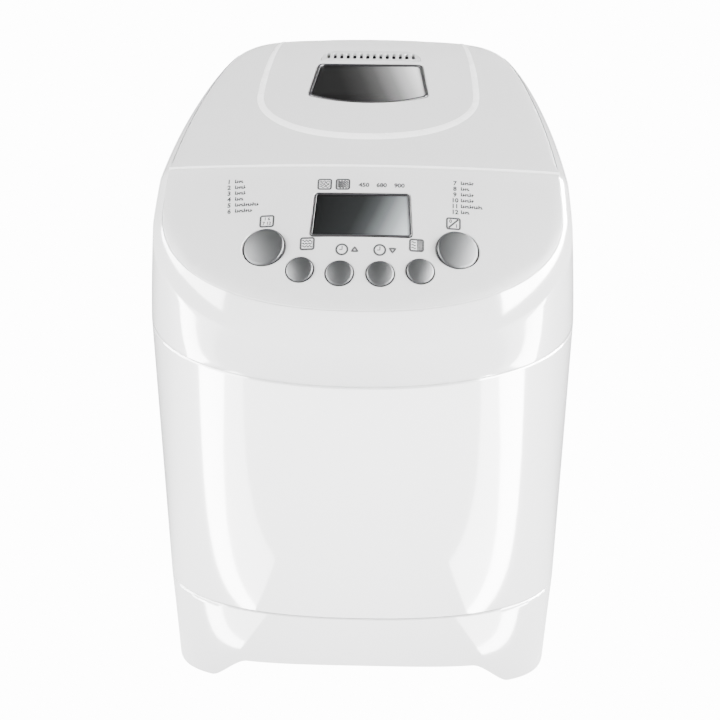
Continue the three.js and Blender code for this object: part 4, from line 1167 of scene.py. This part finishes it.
def make_inlay():
    outer = inlay_edge(INLAY_HALF, INLAY_FRONT, INLAY_TAPER)
    inner_taper = INLAY_TAPER - INLAY_LEG + INLAY_LEG_REAR
    inner = inlay_edge(INLAY_HALF - INLAY_LEG, INLAY_FRONT + INLAY_NOSE, inner_taper)
    pairs = list(zip(outer, inner))
    pairs = [((-a, b), (-c, d)) for (a, b), (c, d) in pairs[:0:-1]] + pairs
    sections = []
    for (ox, oy), (ix, iy) in pairs:
        row = []
        for share, lift in ((0, -0.8), (1, -0.8), (1, 0.02), (0.94, 0.14), (0.06, 0.14), (0, 0.02)):
            x, y = ox + (ix - ox) * share, oy + (iy - oy) * share
            row.append((x, y, top_z(x, y) + lift))
        sections.append(row)
    points, faces = loft(sections)
    add_mesh("lid_inlay", points, faces, "lid", TRIM_AND_HIGHLIGHT_WHITE, ["lid_trim"], 60)


def make_window():
    frame_top = top_z(0, WINDOW_FRONT) + 0.05
    outlines = [window_outline(0), window_outline(-1.5)]
    rim = plate_mesh("window_bezel", outlines, frame_top - 4.3, frame_top, 0.45, 4)
    finish_piece(rim, "lid", DARK_RIM, ["window_frame"])
    pane = plate_mesh("window_pane", [window_outline(-1.6)], frame_top - 3.2, frame_top - 0.9, 0.3)
    finish_piece(pane, "lid", GLASS, ["window_glass"])


def make_vent():
    top = top_z(0, VENT_FRONT) - 0.1
    slots = []
    for i in range(VENT_SLOTS):
        x = (i - (VENT_SLOTS - 1) / 2) * VENT_PITCH
        slots.append(rounded_rect(1.05, 4.1, 1.0, 5, (x, VENT_FRONT + 6.4)))
    grille = plate_mesh("vent_bars", [vent_outline(0), *slots], top - 2, top, 0.35)
    finish_piece(grille, "lid", VENT_GREY, ["vent_grille"])
    baffle = plate_mesh("vent_baffle", [vent_outline(-0.4)], top - 4.2, top - 3.2, 0.2)
    finish_piece(baffle, "lid", BLACK_PLASTIC)


# ------------------------------------------------------------------ carried-over CAD nodes
NODE_LOOKS = (
    (BLACK_PLASTIC, "display_module driven_pulley"),
    (BOARD, "control_board power_board"),
    (STEEL, "hinge_pin_left hinge_pin_right temperature_sensor pan_seat motor_body "
     "chassis_plate pan_handle pan_spindle pan_coupling drive_shaft drive_dog "
     "motor_shaft motor_pulley"),
    (ALUMINIUM, "oven_chamber lid_liner"),
    (BURNT_STEEL, "heating_element"),
    (BRASS, "shaft_bearing"),
    (RUBBER, "drive_belt lid_gasket spindle_seal"),
    (WHITE, "motor_capacitor"),
    (GLAND_GREY, "power_inlet"),
    (NON_STICK, "bread_pan kneading_paddle"),
)


def dress_nodes():
    """Materials and small rounded edges for the CAD nodes that stay in view."""
    looks = {name: material for material, names in NODE_LOOKS for name in names.split()}
    for name in FOOT_SPOTS:
        looks[f"rubber_foot_{name}"] = RUBBER
        looks[f"base_screw_{name}"] = STEEL
    for name, material in looks.items():
        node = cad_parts[name]
        node.data.materials.clear()
        node.data.materials.append(material)
        edges = node.modifiers.new("edges", "BEVEL")
        edges.width = 0.25 * MM
        edges.segments = 2
        edges.limit_method = "ANGLE"
        edges.angle_limit = math.radians(50)
        edges.harden_normals = False


# ------------------------------------------------------------------ stage, lights, camera
BACKDROP = 14.0
FLOOR_LIGHT = (8.6, 1.2)
FLOOR_FADE = (-0.3, 0.02)
SKY_SCALE = 5.0
SKY_STOPS = [(0.0, 0.63), (0.5, 0.63), (0.65, 0.8), (0.85, 1.1), (1.0, 2.4)]
CARD_LIGHT = 4.0
CARD_Z = 0.0006


def seen_glow(tree, unseen):
    """Strength that is the backdrop to the camera and another value to every other ray."""
    path = tree.nodes.new("ShaderNodeLightPath")
    strength = tree.nodes.new("ShaderNodeMix")
    tree.links.new(path.outputs["Is Camera Ray"], strength.inputs["Factor"])
    tree.links.new(unseen, strength.inputs["A"])
    strength.inputs["B"].default_value = BACKDROP
    return strength.outputs["Result"]


def forwardness(tree, place):
    """The -Y part of a vector."""
    parts = tree.nodes.new("ShaderNodeSeparateXYZ")
    tree.links.new(place, parts.inputs["Vector"])
    return parts.outputs["Y"]


def stage_sheet(name, outline, light):
    """Flat glowing sheet of the stage, white to the camera."""
    mesh = bpy.data.meshes.new(name)
    mesh.from_pydata(outline, [], [tuple(range(len(outline)))])
    sheet = bpy.data.objects.new(name, mesh)
    bpy.context.scene.collection.objects.link(sheet)
    material = bpy.data.materials.new(name)
    material.use_nodes = True
    tree = material.node_tree
    tree.nodes.clear()
    glow = tree.nodes.new("ShaderNodeEmission")
    tree.links.new(seen_glow(tree, light(tree)), glow.inputs["Strength"])
    output = tree.nodes.new("ShaderNodeOutputMaterial")
    tree.links.new(glow.outputs["Emission"], output.inputs["Surface"])
    mesh.materials.append(material)


def floor_light(tree):
    """Brighter in front of the machine than beside and behind it."""
    place = tree.nodes.new("ShaderNodeTexCoord").outputs["Object"]
    return spread(tree, forwardness(tree, place), *FLOOR_LIGHT, *FLOOR_FADE)


def card_light(mirrored):
    """Far brighter where it is mirrored than as a light."""
    def light(tree):
        path = tree.nodes.new("ShaderNodeLightPath")
        return spread(tree, path.outputs["Is Glossy Ray"], CARD_LIGHT, mirrored)
    return light


# Cards on the floor beside the machine's front corners: the glossy body mirrors them as a
# bright upright strip with a softer one beside it. Three edges fan out from the corner,
# each a start, a spread and a power, in metres; the cards lie between neighbouring edges.
CARD_EDGES = ((0.155, 0.12, 1.0), (0.155, 0.75, 1.5), (0.19, 1.0, 1.5))
CARD_NEAR = 0.085
CARD_FAR = 1.5
CARD_STEPS = 12
SIDE_CARD_X = 4.0
SIDE_CARD_Y = -4.2
SIDE_CARD_Z = (1.3, 4.6)


def floor_card(side, rear_edge, front_edge):
    """Outline of the floor between two of the fanned edges, on one side of the machine."""
    def edge(start, spread, power):
        reach = [CARD_NEAR + (CARD_FAR - CARD_NEAR) * (i / CARD_STEPS) ** 2 for i in range(CARD_STEPS + 1)]
        return [(side * x, -(start + spread * x**power), CARD_Z) for x in reach]
    return edge(*rear_edge) + edge(*front_edge)[::-1]


# Side, strength in mirrors of the outer, inner and side cards, and the side card's rear end.
STRIP_CARDS = (("left", -1, 75, 24, 45, 1.4), ("right", 1, 85, 32, 110, 3.6))


def make_stage():
    stage_sheet("floor", [(-6, -6, 0), (6, -6, 0), (6, 8, 0), (-6, 8, 0)], floor_light)
    low, high = SIDE_CARD_Z
    for name, side, outer, inner, aside, rear in STRIP_CARDS:
        stage_sheet(f"outer_card_{name}", floor_card(side, *CARD_EDGES[:2]), card_light(outer))
        stage_sheet(f"inner_card_{name}", floor_card(side, *CARD_EDGES[1:]), card_light(inner))
        x = side * SIDE_CARD_X
        outline = [(x, SIDE_CARD_Y, low), (x, rear, low), (x, rear, high), (x, SIDE_CARD_Y, high)]
        stage_sheet(f"side_card_{name}", outline, card_light(aside))


def make_world():
    """Sky that is bright in front and dim overhead and behind."""
    world = bpy.data.worlds.new("studio")
    bpy.context.scene.world = world
    world.use_nodes = True
    tree = world.node_tree
    place = tree.nodes.new("ShaderNodeTexCoord").outputs["Generated"]
    share = spread(tree, forwardness(tree, place), 0, 1, 1, -1)
    sky = ramp(tree, share, [(at, (v / SKY_SCALE,) * 3) for at, v in SKY_STOPS])
    background = tree.nodes["Background"]
    background.inputs["Color"].default_value = (1, 1, 1, 1)
    tree.links.new(seen_glow(tree, spread(tree, sky, 0, SKY_SCALE)), background.inputs["Strength"])


def add_light(name, place, target, size, power):
    """Rectangular softbox at a place in metres, aimed at a target."""
    light = bpy.data.lights.new(name, "AREA")
    light.shape = "RECTANGLE"
    light.size, light.size_y = size
    light.energy = power
    lamp = bpy.data.objects.new(name, light)
    bpy.context.scene.collection.objects.link(lamp)
    lamp.location = place
    lamp.rotation_euler = (Vector(target) - Vector(place)).to_track_quat("-Z", "Y").to_euler()


CAMERA_PLACE = (0.027, -0.931, 0.719)
CAMERA_PITCH = 32.0
CAMERA_YAW = -1.9
CAMERA_ROLL = -0.08
LENS_MM = 91.0


def make_camera():
    camera = bpy.data.cameras.new("camera")
    camera.lens = LENS_MM
    camera.sensor_width = 36
    camera.clip_start = 0.05
    holder = bpy.data.objects.new("camera", camera)
    bpy.context.scene.collection.objects.link(holder)
    pitch, yaw = math.radians(CAMERA_PITCH), math.radians(CAMERA_YAW)
    ahead = Vector((math.sin(yaw) * math.cos(pitch), math.cos(yaw) * math.cos(pitch), -math.sin(pitch)))
    holder.location = CAMERA_PLACE
    level = ahead.to_track_quat("-Z", "Y")
    holder.rotation_euler = (level @ Quaternion((0, 0, 1), math.radians(CAMERA_ROLL))).to_euler()
    bpy.context.scene.camera = holder


make_camera()
make_base_skirt()
make_base_floor()
for foot_name, (foot_x, foot_y) in FOOT_SPOTS.items():
    make_foot_post(foot_name, foot_x, foot_y)
make_outer_wall()
make_collar()
make_deck()
make_split_rib()
make_hinges()
make_panel()
make_buttons()
make_display()
make_prints()
make_lid()
make_inlay()
make_window()
make_vent()
dress_nodes()
make_stage()
make_world()
add_light("side_left", (-1.3, -0.1, 1.0), (0, 0, 0.25), (0.9, 0.9), 46)
add_light("side_right", (1.3, -0.1, 1.0), (0, 0, 0.25), (0.9, 0.9), 60)
